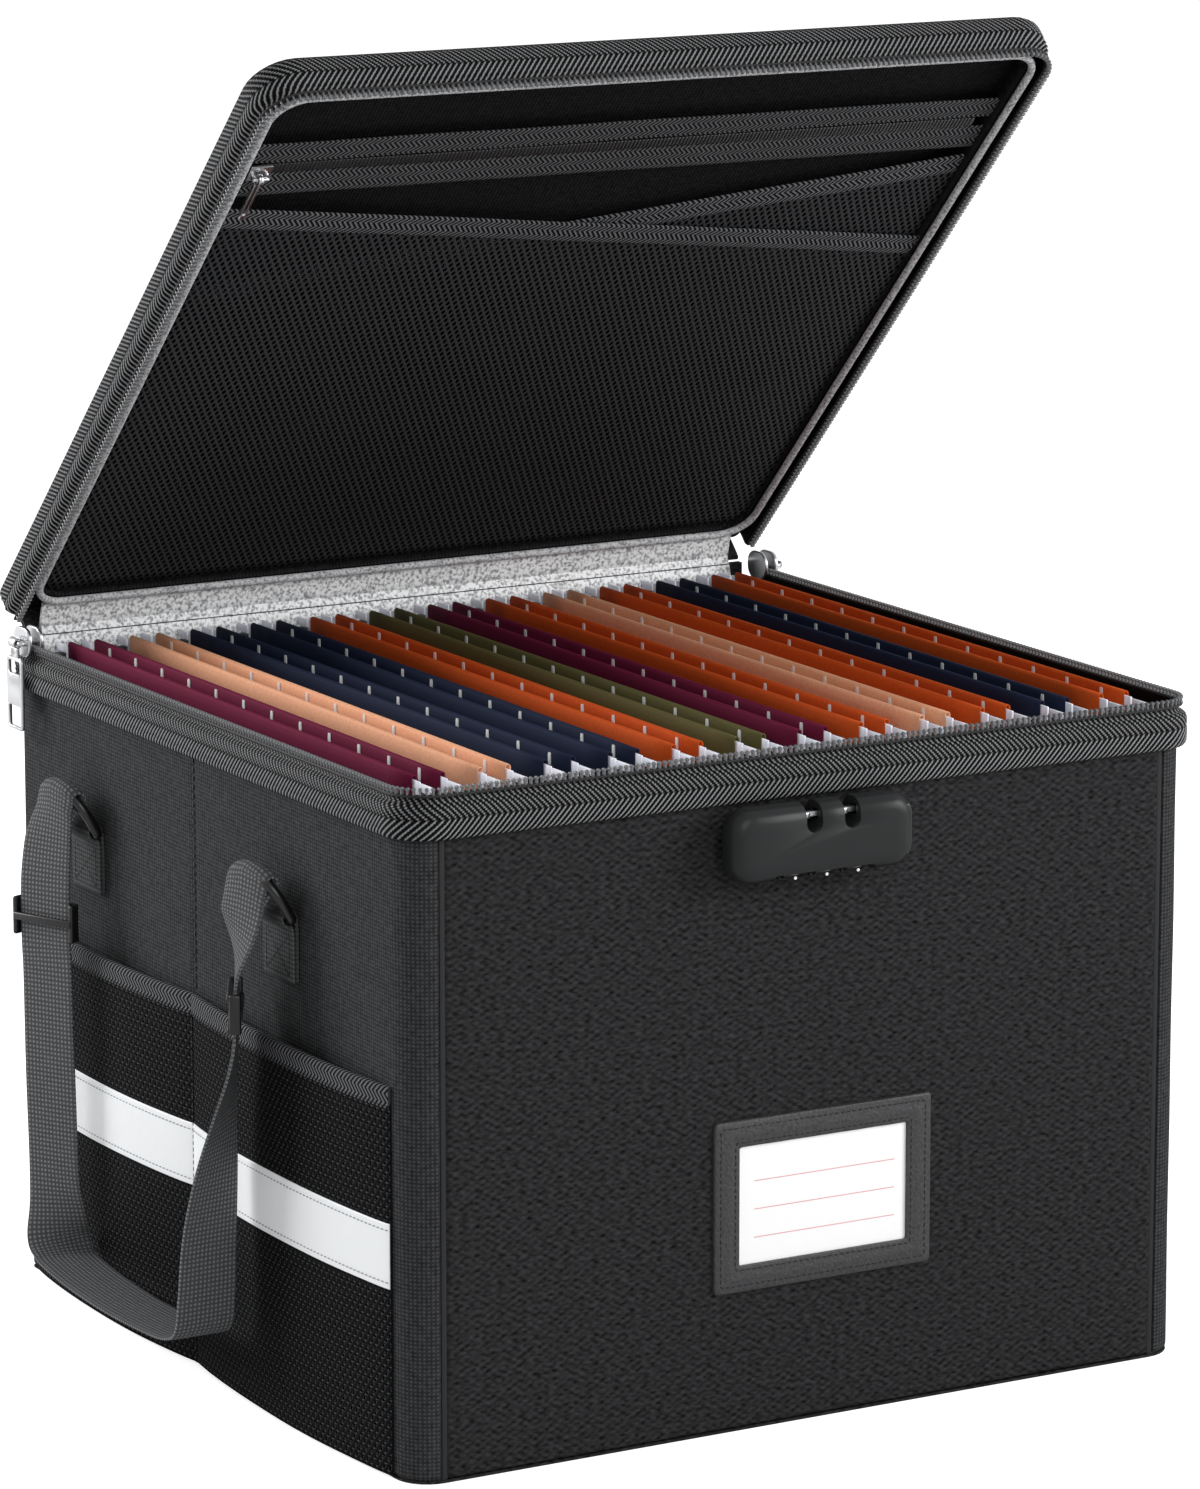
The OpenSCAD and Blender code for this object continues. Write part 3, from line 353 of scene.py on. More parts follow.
def applied(piece):
    """Makes the piece's modifiers part of its mesh."""
    shaped = piece.evaluated_get(bpy.context.evaluated_depsgraph_get())
    done = bpy.data.meshes.new_from_object(shaped)
    piece.modifiers.clear()
    piece.data = done
    return piece


def outward(piece):
    """Points the faces of a closed mesh outwards."""
    work = bmesh.new()
    work.from_mesh(piece.data)
    bmesh.ops.recalc_face_normals(work, faces=work.faces)
    work.to_mesh(piece.data)
    work.free()
    return piece


def mirrored(piece):
    """The piece on the box's other side, with its faces turned outwards again."""
    piece.data.transform(Matrix.Diagonal((-1, 1, 1, 1)))
    return outward(piece)


def painted(piece, *paints):
    """Gives a piece its finish, or a list of them for its faces to choose from."""
    piece.data.materials.clear()
    for paint in paints:
        piece.data.materials.append(paint)
    return piece


def numbers(items, key, width=3, kind=float):
    """One property of every vertex, corner or face, as an array with a row for each."""
    got = np.zeros(len(items) * width, kind)
    items.foreach_get(key, got)
    return got.reshape(-1, width)


def spread(x, section):
    """The same section in y and z at every x: the grid of a strip that lies across the box."""
    shape = (len(x), len(section))
    return np.concatenate([np.broadcast_to(x[:, None, None], (*shape, 1)),
                           np.broadcast_to(section, (*shape, 2))], -1)


def joined(name, pieces):
    """Several meshes as one piece."""
    work = bmesh.new()
    slots = []
    for piece in pieces:
        first = len(work.faces)
        work.from_mesh(piece.data)
        work.faces.ensure_lookup_table()
        paint = piece.data.materials[0] if len(piece.data.materials) else None
        if paint not in slots:
            slots.append(paint)
        number = slots.index(paint)
        for face in work.faces[first:]:
            face.material_index = number
    mesh = bpy.data.meshes.new(name)
    work.to_mesh(mesh)
    work.free()
    for paint in slots:
        mesh.materials.append(paint)
    for piece in pieces:
        bpy.data.objects.remove(piece)
    made = bpy.data.objects.new(name, mesh)
    scene.collection.objects.link(made)
    return made


def place(piece, body, paint, *replaced, slot=None):
    """Gives a piece its finish, the body it rides on and the CAD nodes that it stands for."""
    if paint:
        painted(piece, paint)
    if body:
        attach(piece, body)
    if replaced:
        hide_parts(*replaced)
        slot = slot or slot_of[replaced[0]]
    return piece


slot_of = {s["node"]: s["material_slot"] for s in frame["record"]["subparts"]}
print("shape tools ready")

# %% [markdown]
# ## Finishes
# Each finish is named for the real stuff. Cloth gets its thread as a fine pattern that follows the
# piece's own UV map, which is in metres, so the thread has its real size. Real threads of a third
# of a millimetre are too fine to show at this distance and are drawn a little coarser.


# %% Finish helpers
FIBRE_GLOSS = 0.06


def finish(name, colour, rough, metal=0.0, sheen=0.0, gloss=0.5):
    """A new material with its shader's plain values; returns it with its tree and shader."""
    made = bpy.data.materials.new(name)
    made.use_nodes = True
    tree = made.node_tree
    tree.nodes.clear()
    shader = add(tree, "BsdfPrincipled",
                 {"Base Color": linear(colour), "Roughness": rough, "Metallic": metal,
                  "Sheen Weight": sheen, "Sheen Roughness": 0.5, "Specular IOR Level": gloss})
    add(tree, "OutputMaterial", {"Surface": shader})
    return made, tree, shader


def dress(tree, shader, shade=None, low=None, high=None, height=None, depth=0.0):
    """Lets a pattern from 0 to 1 colour the shader between two shades, and another one raise
    the surface to a depth in metres."""
    if shade is not None:
        mix = add(tree, "Mix", {0: shade, 6: linear(low), 7: linear(high)}, data_type="RGBA")
        tree.links.new(mix.outputs[2], shader.inputs["Base Color"])
    if height is not None:
        bump = add(tree, "Bump", {"Strength": 1.0, "Distance": depth, "Height": height})
        tree.links.new(bump.outputs[0], shader.inputs["Normal"])


def uv_axes(tree):
    """The piece's own UV map as two values in metres."""
    split = add(tree, "SeparateXYZ", {0: add(tree, "UVMap", uv_map="UVMap")})
    return split.outputs[0], split.outputs[1]


def ridges(tree, value, pitch):
    """Waves from 0 to 1 with the given pitch in metres: a half plus half a sine."""
    turn = add(tree, "Math", {0: value, 1: 2 * math.pi / pitch}, operation="MULTIPLY")
    sine = add(tree, "Math", {0: turn}, operation="SINE")
    return add(tree, "Math", {0: sine, 1: 0.5, 2: 0.5}, operation="MULTIPLY_ADD")


# %% Cloth finishes
def woven(name, low, high, warp, weft, depth, uneven=0.3):
    """Plain weave: warp and weft ridges cross; yarns differ, so fine noise 2 mm across varies the
    shade by the given share, and the fibre is dull, so it hardly shines."""
    made, tree, shader = finish(name, high, 0.85, gloss=FIBRE_GLOSS)
    u, v = uv_axes(tree)
    cross = add(tree, "Math", {0: ridges(tree, u, warp), 1: ridges(tree, v, weft)},
                operation="MULTIPLY")
    where = add(tree, "TexCoord").outputs["Object"]
    noise = add(tree, "TexNoise", {"Vector": where, "Scale": 1 / 0.002, "Detail": 1.0})
    yarns = add(tree, "Math", {0: noise, 1: 2.0 * uneven, 2: -0.5 * uneven},
                operation="MULTIPLY_ADD")
    shade = add(tree, "Math", {0: cross, 1: 1 - uneven, 2: yarns}, operation="MULTIPLY_ADD")
    dress(tree, shader, shade, low, high, cross, depth)
    return made


def dobby(name, low, high, length, row, depth):
    """Dobby weave: short crosswise dashes. Two cosines multiplied peak on a lattice whose rows
    are offset by half, and noise stretched along the rows makes the dashes uneven: 0.4 of the
    shade is the lattice and 0.6 the noise."""
    made, tree, shader = finish(name, high, 0.75, gloss=FIBRE_GLOSS)
    u, v = uv_axes(tree)
    peaks = []
    for axis, size in ((u, length), (v, row)):
        turn = add(tree, "Math", {0: axis, 1: math.pi / size}, operation="MULTIPLY")
        peaks.append(add(tree, "Math", {0: turn}, operation="COSINE"))
    lattice = add(tree, "Math", {0: peaks[0], 1: peaks[1]}, operation="MULTIPLY")
    dash = add(tree, "Math", {0: lattice, 1: 0.5, 2: 0.5}, operation="MULTIPLY_ADD")
    stretched = add(tree, "Math", {0: u, 1: 0.5}, operation="MULTIPLY")
    where = add(tree, "CombineXYZ", {0: stretched, 1: v})
    noise = add(tree, "TexNoise", {"Vector": where, "Scale": 1 / (row * 1.1), "Detail": 1.0})
    uneven = add(tree, "Math", {0: noise, 1: 0.6 * 2.4, 2: 0.6 * -0.7}, operation="MULTIPLY_ADD")
    shade = add(tree, "Math", {0: dash, 1: 0.4, 2: uneven}, operation="MULTIPLY_ADD")
    dress(tree, shader, shade, low, high, shade, depth)
    return made


def zigzag(name, low, high, pitch, row, depth):
    """Herringbone tape: slanted yarn ridges whose lean turns round from row to row."""
    made, tree, shader = finish(name, high, 0.8, gloss=FIBRE_GLOSS)
    u, v = uv_axes(tree)
    rows = add(tree, "Math", {0: v, 1: row}, operation="PINGPONG")
    ridge = ridges(tree, add(tree, "Math", {0: u, 1: rows}, operation="ADD"), pitch)
    shade = add(tree, "Math", {0: ridge, 1: 1.5, 2: -0.3}, operation="MULTIPLY_ADD")
    dress(tree, shader, shade, low, high, ridge, depth)
    return made


# Polyester oxford of the side walls: smooth, fine, mid grey
side_cloth = woven("oxford_polyester_side", "#202122", "#4f5052", 0.0017, 0.0015, 0.00015)
# Dobby polyester of the front: crosswise dashes 2.2 mm long in rows 1.4 mm apart
front_cloth = dobby("dobby_polyester_front", "#070707", "#39393b", 0.0022, 0.0014, 0.0003)
# Oxford of the lid's top, a shade darker, and the thin dull taffeta that lines lid and box
lid_cloth = woven("oxford_polyester_lid", "#19191a", "#48494b", 0.0016, 0.0014, 0.00012)
lining_cloth = woven("taffeta_lining", "#060606", "#2b2b2d", 0.0016, 0.0012, 0.00015)
# Nylon webbing: strong ribs, drawn 1.8 mm apart where the real ones stand 1.1 mm apart
webbing_cloth = woven("nylon_webbing", "#444546", "#86878a", 0.0018, 0.0018, 0.0003, uneven=0.08)
# The tabs have the same weave in darker shades
tab_cloth = woven("nylon_tab_webbing", "#3a3b3c", "#68696b", 0.0018, 0.0018, 0.0002, uneven=0.08)
# Herringbone tape of the lid pocket's zip and of the pockets' bound mouths
pocket_tape_cloth = zigzag("herringbone_pocket_tape", "#0b0b0c", "#5a5b5d", 0.0022, 0.0030, 0.0002)
pocket_edge_cloth = zigzag("herringbone_pocket_binding", "#040404", "#68696c",
                           0.0024, 0.0032, 0.0003)
print("cloths ready")


# %% Band, piping and strip finishes
def ribbed_band():
    """Herringbone band: the ribs stand up in the mesh, and its rib attribute colours the band from
    grey yarn on the ribs' tops down to black in the grooves and at the edges, which is painted
    shade;
    fine noise along each rib is the yarn's twist."""
    made, tree, shader = finish("herringbone_padded_band", "#8a8b8d", 0.7, gloss=0.1)
    rib = add(tree, "Attribute", attribute_name="rib").outputs["Fac"]
    steep = add(tree, "Math", {0: rib, 1: 2.2, 2: -0.9}, operation="MULTIPLY_ADD")
    where = add(tree, "TexCoord").outputs["Object"]
    noise = add(tree, "TexNoise", {"Vector": where, "Scale": 1 / 0.0009, "Detail": 1.0})
    twist = add(tree, "Math", {0: noise, 1: 0.5, 2: 0.72}, operation="MULTIPLY_ADD")
    shade = add(tree, "Math", {0: add(tree, "Clamp", {"Value": steep}), 1: twist},
                operation="MULTIPLY")
    # Painted shade: near black where the rib attribute is low
    dress(tree, shader, shade, "#020202", "#8d8e90")
    return made


band_cloth = ribbed_band()


def speckled(name, low, high, size, rough):
    """Light yarn with dark flecks: hard-edged noise between two shades."""
    made, tree, shader = finish(name, high, rough, sheen=0.1)
    where = add(tree, "TexCoord").outputs["Object"]
    grain = add(tree, "TexNoise", {"Vector": where, "Scale": 1 / size, "Detail": 1.0})
    hard = add(tree, "Math", {0: grain, 1: 4.0, 2: -1.3}, operation="MULTIPLY_ADD")
    dress(tree, shader, add(tree, "Clamp", {"Value": hard}), low, high, grain, 0.00015)
    return made


piping_cloth = speckled("speckled_piping_cord", "#77787a", "#c4c5c8", 0.0011, 0.75)
hinge_cloth = speckled("silver_woven_strip", "#8f9093", "#f0f1f2", 0.0014, 0.4)


def retroreflective():
    """Reflective film: tiny glass beads send light straight back, so it looks near white and
    even at every angle; a weak glow of its own colour stands for that."""
    made, tree, shader = finish("retroreflective_film", "#d8dadc", 0.35)
    shader.inputs["Emission Color"].default_value = linear("#d8dadc")
    shader.inputs["Emission Strength"].default_value = 0.2
    where = add(tree, "TexCoord").outputs["Object"]
    dent = add(tree, "TexNoise", {"Vector": where, "Scale": 1 / 0.006, "Detail": 2.0})
    dress(tree, shader, height=dent, depth=0.0002)
    return made


reflective_film = retroreflective()


def open_mesh(name, pitch, slant, low, high, openness, rope):
    """Knitted mesh: rows of yarn with round holes between them. A hole is where the product of
    two ridge waves is high; there the cloth is clear. Its yarn shows as twisted rope in slanted
    rows, or as an even honeycomb."""
    made, tree, shader = finish(name, high, 0.75, gloss=FIBRE_GLOSS)
    u, v = uv_axes(tree)
    one, other = (ridges(tree, add(tree, "Math", {0: v, 1: lean, 2: u},
                                   operation="MULTIPLY_ADD"), pitch) for lean in (slant, -slant))
    hole = add(tree, "Math", {0: one, 1: other}, operation="MULTIPLY")
    solid = add(tree, "Math", {0: hole, 1: openness}, operation="LESS_THAN")
    tree.links.new(solid.outputs[0], shader.inputs["Alpha"])
    if rope:
        narrow = add(tree, "Math", {0: one, 1: 2.0}, operation="POWER")
        yarn = add(tree, "Math", {0: narrow, 1: ridges(tree, v, 0.0013)}, operation="MULTIPLY")
    else:
        yarn = add(tree, "Math", {0: hole, 1: -2.2, 2: 1.0}, operation="MULTIPLY_ADD")
    dress(tree, shader, yarn, low, high, hole, -0.0004)
    return made


side_mesh = open_mesh("sports_mesh_side", 0.0036, 0.85, "#020202", "#46474a", 0.62, True)
lid_mesh = open_mesh("sports_mesh_lid", 0.0032, 0.58, "#040404", "#38393b", 0.40, False)
print("band, piping, strip, film and mesh ready")


# %% Hard finishes
def moulded(name, colour, rough, grain=0.0004, metal=0.0, gloss=0.5):
    """Moulded or cast surface: its colour with a faint skin texture 0.02 mm deep."""
    made, tree, shader = finish(name, colour, rough, metal=metal, gloss=gloss)
    where = add(tree, "TexCoord").outputs["Object"]
    texture = add(tree, "TexNoise", {"Vector": where, "Scale": 1 / grain, "Detail": 1.0})
    dress(tree, shader, height=texture, depth=0.00002)
    return made


# Moulded plastics keep the dull gloss of their mould: glides, rails, zip teeth and coil
hard_plastic = moulded("black_acetal", "#0e0e0f", 0.38)
rail_plastic = moulded("black_polypropylene_rail", "#101011", 0.45)
zip_plastic = moulded("acetal_zip_teeth", "#6a6b6d", 0.35)
coil_plastic = moulded("nylon_zip_coil", "#2a2b2d", 0.4)
# The lock is cast zinc with a satin paint, and the sliders and pulls are nickel plated
lock_shell = moulded("satin_painted_zinc", "#242526", 0.34, grain=0.0003, gloss=0.2)
button_paint = moulded("satin_painted_button", "#474849", 0.3, grain=0.0003, gloss=0.3)
lock_dial_plastic = moulded("abs_number_wheel", "#0d0d0e", 0.4)
bright_metal = moulded("brushed_nickel_plate", "#c4c5c7", 0.3, metal=1.0, grain=0.003)
# Bonded thread is dull; the tab slots and the hanger bars are plain white, and the lock's three
# white dots are painted highlights where the number wheels glint
black_thread = moulded("bonded_thread_black", "#0a0a0b", 0.7)
grey_thread = moulded("bonded_thread_grey", "#8d8f93", 0.7)
white_enamel = moulded("white_enamel", "#ececec", 0.4)
bar_plastic = moulded("hanger_bar_plastic", "#f2f4ff", 0.4, grain=0.002)


def card_stock(name, colour):
    """Dyed card: matt, with a fine fibre mottling of a few shades either side of its colour."""
    made, tree, shader = finish(name, colour, 0.8, gloss=0.1)
    base = np.array([int(colour[i:i + 2], 16) for i in (1, 3, 5)])
    low, high = ("#%02x%02x%02x" % tuple(np.clip(base * k, 0, 255).astype(int))
                 for k in (0.9, 1.08))
    where = add(tree, "TexCoord").outputs["Object"]
    fibre = add(tree, "TexNoise", {"Vector": where, "Scale": 1 / 0.0012, "Detail": 3.0})
    dress(tree, shader, fibre, low, high, fibre, 0.00004)
    return made


# Grey-brown board inside the walls, coated card with pale ruled lines, and five folder colours
board_card = card_stock("grey_brown_board", "#756250")
label_card_stock = moulded("coated_white_label_card", "#fbfbfb", 0.5, grain=0.002)
label_line_ink = moulded("pale_pink_ink", "#dfa0a0", 0.7)
CARDS = {"maroon": card_stock("card_maroon", "#6b1b39"),
         "peach": card_stock("card_peach", "#f2b08b"),
         "navy": card_stock("card_navy", "#20273e"),
         "orange": card_stock("card_orange", "#cb5420"),
         "olive": card_stock("card_olive", "#605a38")}


def leatherette():
    """Leather-grain vinyl: small pebbles from cell noise; the creases are darker as painted shade.
    """
    made, tree, shader = finish("leather_grain_vinyl", "#474747", 0.5)
    where = add(tree, "TexCoord").outputs["Object"]
    cells = add(tree, "TexVoronoi", {"Vector": where, "Scale": 1 / 0.0011}, feature="SMOOTH_F1")
    # Painted shade: the cells' edges, in the creases, get the darker colour
    dress(tree, shader, cells, "#3d3d3f", "#1c1c1e", cells, -0.00018)
    return made


label_leatherette = leatherette()
print("finishes:", len(bpy.data.materials))

# %% [markdown]
# ## Outlines
# The walls, the padded bands and the lid share one outline: a rectangle whose front corners are
# round and whose back corners are nearly square. One function gives it for any inset, with the
# same number of points each time, so loops at different insets join into a skin.


# %% Outline functions
def outline(inset, front_r, rear_r, rear_inset=None):
    """Closed outline seen from above, anticlockwise from the left front corner; every outline
    has the same number of points."""
    side = WIDE / 2 - inset
    back = DEEP / 2 - (inset if rear_inset is None else rear_inset)
    return rounded_loop(-side, side, inset - DEEP / 2, back, (front_r, rear_r), 8, 24)


def u_line(inset, spacing, end=0.0):
    """Open outline from the left rear corner round the front to the right rear corner, where
    the zip runs; points at one spacing. end shortens both ends."""
    w, d, r = WIDE / 2 - inset, DEEP / 2 - inset, CORNER - inset
    y0 = DEEP / 2 - REAR_CORNER - end
    run = chain(line((-w, y0), (-w, -d + r), 5), arc(-w + r, -d + r, r, 180, 270, 24),
                line((-w + r, -d), (w - r, -d), 5), arc(w - r, -d + r, r, 270, 360, 24),
                line((w, -d + r), (w, y0), 5))
    return resample(run, spacing)


def plan_normals(line_2d):
    """Directions square to an open line seen from above, to the right of its travel."""
    t = along(line_2d)
    return np.stack([t[:, 1], -t[:, 0]], -1)


def lift(xy, z):
    """Points on a plan put at a height."""
    return np.concatenate([xy, np.broadcast_to(np.asarray(z, float)[..., None],
                                               (*xy.shape[:-1], 1))], -1)


def edge_steps(a, b, radius, step):
    """Values from a to b: close together within a radius of each end, wider between."""
    near = radius * np.array([0, 0.12, 0.35, 0.65])
    middle = np.linspace(a + radius, b - radius, max(2, int((b - a - 2 * radius) / step) + 1))
    return np.concatenate([a + near, middle, b - near[::-1]])


def rounded_drop(values, a, b, radius):
    """How far a soft edge falls away: a quarter circle of the radius at both ends."""
    d = np.clip(np.minimum(values - a, b - values), 0, radius)
    return radius - np.sqrt(np.maximum(radius ** 2 - (radius - d) ** 2, 0))


def wall(name, plan, zs, offset, thick, out=None):
    """A cloth wall: a line seen from above raised over heights zs, pushed out by offset (m, n),
    with an inner face set back by thick. Outer and inner rows make one closed section."""
    out = plan_normals(plan) if out is None else out
    outer = plan[:, None] + out[:, None] * offset[..., None]
    inner = plan[:, None] - out[:, None] * thick + 0 * outer
    z = np.broadcast_to(zs, offset.shape)
    grid = np.concatenate([lift(outer, z), lift(inner, z)[:, ::-1]], 1)
    v = np.concatenate([zs, zs[::-1], zs[:1]])
    uv = np.stack(np.meshgrid(running(plan), v, indexing="ij"), -1)
    return skin(name, grid, wrap_v=True, uv=uv, caps=True)


def waves(a, b, size, seed):
    """Soft uneven cloth, from -1 to 1: a few crossed sine waves with seeded phases."""
    rng = np.random.default_rng(seed)
    total = 0
    for _ in range(5):
        angle, phase = rng.uniform(0, np.pi), rng.uniform(0, 2 * np.pi)
        scale = size * rng.uniform(0.7, 1.6)
        total = total + np.sin((a * np.cos(angle) + b * np.sin(angle)) * 2 * np.pi / scale + phase)
    return total / 5


def repeat(name, verts, faces, centres, ax, ay, az):
    """One small shape set at many places: every vertex is centre + x ax + y ay + z az."""
    verts = np.asarray(verts, float)
    centres = np.asarray(centres, float)
    ax, ay, az = (np.broadcast_to(np.asarray(a, float), centres.shape) for a in (ax, ay, az))
    places = (centres[:, None] + verts[None, :, :1] * ax[:, None]
              + verts[None, :, 1:2] * ay[:, None] + verts[None, :, 2:3] * az[:, None])
    shift = (np.arange(len(centres)) * len(verts))[:, None, None]
    quads = (np.asarray(faces)[None] + shift).reshape(-1, np.asarray(faces).shape[1])
    return put_mesh(name, places.reshape(-1, 3), quads)


def bead(length, width, height, power=0.6, rings=5, end=0.45):
    """A small rounded bar as quads: an eight-sided oval section, from the full size in the
    middle down to a share of it at both ends, which three quads close."""
    t = np.linspace(-1, 1, rings)
    size = end + (1 - end) * (1 - t ** 4) ** 0.5
    section = pill(1, 1, power, 8)
    grid = np.stack([np.broadcast_to(t[:, None] * length / 2, (rings, 8)),
                     size[:, None] * section[:, 0] * width,
                     size[:, None] * section[:, 1] * height], -1)
    quads, _ = quads_of(rings, 8, False, True)
    close = np.array([[0, 3, 2, 1], [0, 5, 4, 3], [0, 7, 6, 5]])
    return grid.reshape(-1, 3), np.concatenate([quads, close, close[:, ::-1] + (rings - 1) * 8])


def stitches(name, path, out, paint, body, pitch=2.6, length=1.7, width=0.45, height=0.3):
    """Sewn thread along a path: one small bar per stitch, lying on the cloth."""
    path = np.asarray(path, float)
    run = running(path)
    at = np.arange(pitch / 2, run[-1], pitch)
    centre = np.stack([np.interp(at, run, path[:, k]) for k in range(3)], -1)
    way = np.stack([np.interp(at + 0.3, run, path[:, k]) for k in range(3)], -1) - centre
    still = np.linalg.norm(way, axis=-1, keepdims=True) < 1e-6
    way = unit(way + still * (path[-1] - path[-2]))
    out = np.asarray(out, float)
    if out.ndim == 2:
        out = np.stack([np.interp(at, run, out[:, k]) for k in range(3)], -1)
    out = unit(out - (out * way).sum(-1, keepdims=True) * way)
    made = repeat(name, *bead(length, width, height), centre + out * height * 0.1, way,
                  np.cross(out, way), out)
    return place(made, body, paint)


print("outline has", len(outline(0, CORNER, REAR_CORNER)), "points")

# %% [markdown]
# ## Walls
# Each wall is cloth over stiff board, sewn to its neighbours in a thin groove near each front
# corner; the side cloth wraps round the corner. The boards show nowhere, so they stay as plain
# CAD solids. The cloth is a thin wall with soft rounded edges at the seams and a slight unevenness.
# A black welt lies in each seam, and black stitches run down the fold of each side wall.

# %% Outer cloth panels
WALL_TOP, CLOTH_T, SEAM_R = 255.0, 1.2, 2.6
heights = edge_steps(CLOTH_T, WALL_TOP, 2.0, 9.0)


def wall_panel(name, plan, seed, paint, node, crease=None):
    """Cloth panel on a line seen from above: it falls away in a quarter circle at both seams,
    is pressed in by a shallow dip at a crease, and waves by a third of a millimetre."""
    run = running(plan)
    # The upper edge lies behind the band, so 300 mm keeps it from falling away
    drop = (rounded_drop(run, 0, run[-1], SEAM_R)[:, None]
            + rounded_drop(heights, CLOTH_T, 300, 2.0))
    ripple = 0.3 * waves(run[:, None], heights, 70, seed)
    fade = np.clip(np.minimum(run, run[-1] - run) / 12, 0, 1)[:, None]
    offset = ripple * fade - drop
    if crease is not None:
        offset -= 0.8 * np.exp(-((plan[:, 1] - crease) / 2.2) ** 2)[:, None]
    made = wall(name, plan, heights, offset, CLOTH_T)
    return place(made, "box", paint, node)


def side_plan(side):
    """Left or right wall's line: from the front seam round the corner to the rear seam."""
    w, d = WIDE / 2, DEEP / 2
    ys = np.sort(np.concatenate([np.linspace(-d + CORNER, d - REAR_CORNER, 40),
                                 FOLD_Y + np.linspace(-5, 5, 9)]))
    left = chain(arc(-w + CORNER, -d + CORNER, CORNER, 269, 180, 14),
                 np.stack([np.full_like(ys, -w), ys], -1),
                 arc(-w + REAR_CORNER, d - REAR_CORNER, REAR_CORNER, 180, 92, 6))
    return left if side < 0 else (left * [-1, 1])[::-1]


front_half = WIDE / 2 - CORNER - 0.3
xs = edge_steps(-front_half, front_half, SEAM_R, 9.0)
front_line = np.stack([xs, np.full_like(xs, -DEEP / 2)], -1)
wall_panel("front_panel", front_line, 1, front_cloth, "front_cover")
wall_panel("left_panel", side_plan(-1)[::-1], 2, side_cloth, "left_cover", crease=FOLD_Y)
wall_panel("right_panel", side_plan(1)[::-1], 3, side_cloth, "right_cover", crease=FOLD_Y)
print("outer panels done")

# %% Rear panel with its doubled top
rear_half = WIDE / 2 - REAR_CORNER - 0.3
xr = edge_steps(-rear_half, rear_half, SEAM_R, 9.0)
rear_line = np.stack([xr, np.full_like(xr, DEEP / 2)], -1)[::-1]
wall_panel("rear_panel", rear_line, 4, front_cloth, "rear_cover")


def rear_strip(name, y, z, thick, tall, power, count):
    """A flat rounded strip of cloth along the back's top, centred on y and z."""
    strip = sweep(name, line((-rear_half, y, z), (rear_half, y, z), 6), (0, 1, 0),
                  pill(thick, tall, power, count))
    place(strip, "box", front_cloth, slot="front_cloth")


rear_strip("rear_hinge_cloth", DEEP / 2 + TAPE_OUT / 2, RIM - 9.9, TAPE_OUT, 19.8, 0.35, 28)
rear_strip("rear_top_cloth", DEEP / 2 - 0.6, 259.4, 1.2, 9.1, 0.3, 20)


# %% Base and lining
def stack(name, loops):
    """Closed loops with equal numbers of points, one after another, joined into a skin; the
    first and the last loop are filled."""
    return outward(skin(name, np.stack(loops), wrap_v=True, caps=True, smooth=35))


def put_uv_from_above(piece, tilt=False):
    """Maps a flat piece from above: x along, y across (the lid's own y when tilted)."""
    mesh = piece.data
    flat = numbers(mesh.vertices, "co")[:, :2] * [1, math.sqrt(2) if tilt else 1]
    corners = numbers(mesh.loops, "vertex_index", 1, int)[:, 0]
    mesh.uv_layers.active.data.foreach_set("uv", flat[corners].astype(np.float32).ravel())
    return piece


base = stack("base_cloth", [
    lift(outline(inset, max(CORNER - inset, 1), max(REAR_CORNER - inset, 0.4)), z)
    for inset, z in ((1.2, 0.0), (0.35, 0.15), (0.0, 0.6), (0.1, 1.15), (0.6, CLOTH_T))])
place(put_uv_from_above(base), "box", front_cloth, "base_cover")

# Up the outside of the lining, over the boards' top edge, and down the inside to the floor
lining = stack("box_lining", [
    lift(outline(inset, front_r, rear_r), z) for inset, front_r, rear_r, z in (
        (4.25, 6, 3, 4.25), (4.25, 6, 3, 254.0), (1.3, 12.7, 1.7, 254.1), (1.3, 12.7, 1.7, 254.9),
        (5.0, 6, 3, 254.9), (5.0, 6, 3, 120), (5.0, 6, 3, 5.0))])
place(put_uv_from_above(lining), "box", lining_cloth, "body_lining")
for board in ("base_board", "wall_boards", "lid_board"):
    painted(nodes[board], board_card)
print("base, lining and boards done")

# %% Seam welts
for word, x, y in (("front_left", -157, -165.0), ("front_right", 157, -165.0),
                   ("rear_left", -168, 165.0), ("rear_right", 168, 165.0)):
    welt = sweep("seam_welt_" + word, line((x, y, 1.4), (x, y, 254.5), 12), (1, 0, 0),
                 pill(2.4, 0.9, 0.8, 10))
    place(outward(welt), "box", black_thread, slot="front_cloth")
print("seam welts done")

# %% Fold stitching down the left and right walls
for side, word in SIDES:
    x = side * (WIDE / 2 - 0.3)
    down = line((x, FOLD_Y, 243), (x, FOLD_Y, 151), 4)
    stitches(word + "_fold_stitches", down, (side, 0, 0), black_thread, "box",
             pitch=3.4, length=2.4, width=1.0, height=0.5)
print("fold stitches done")

# %% [markdown]
# ## Padded herringbone bands
# The zip's two rows of teeth are sewn to padded bands that stand out from the walls. Each band has
# two rows of slanted ribs that meet in the middle and point one way. The ribs are part of the
# surface here: the band's section is carried along the outline in steps finer than a rib and
# pushed out by a wave that depends on the place along and across it.

# %% Bands
# The tapes end this far from the rim plane, and the tips of the teeth stand this far from it
TAPE_EDGE, TOOTH_TIP = 4.2, 0.75
BAND_OUT = 4.0
RIB_PITCH, RIB_SLANT, RIB_DEPTH = 2.4, 0.95, 0.45
# The tape is flat from the teeth to this distance from the rim plane, and this thick there
FLAT_TO, FLAT_T = 6.8, 0.6


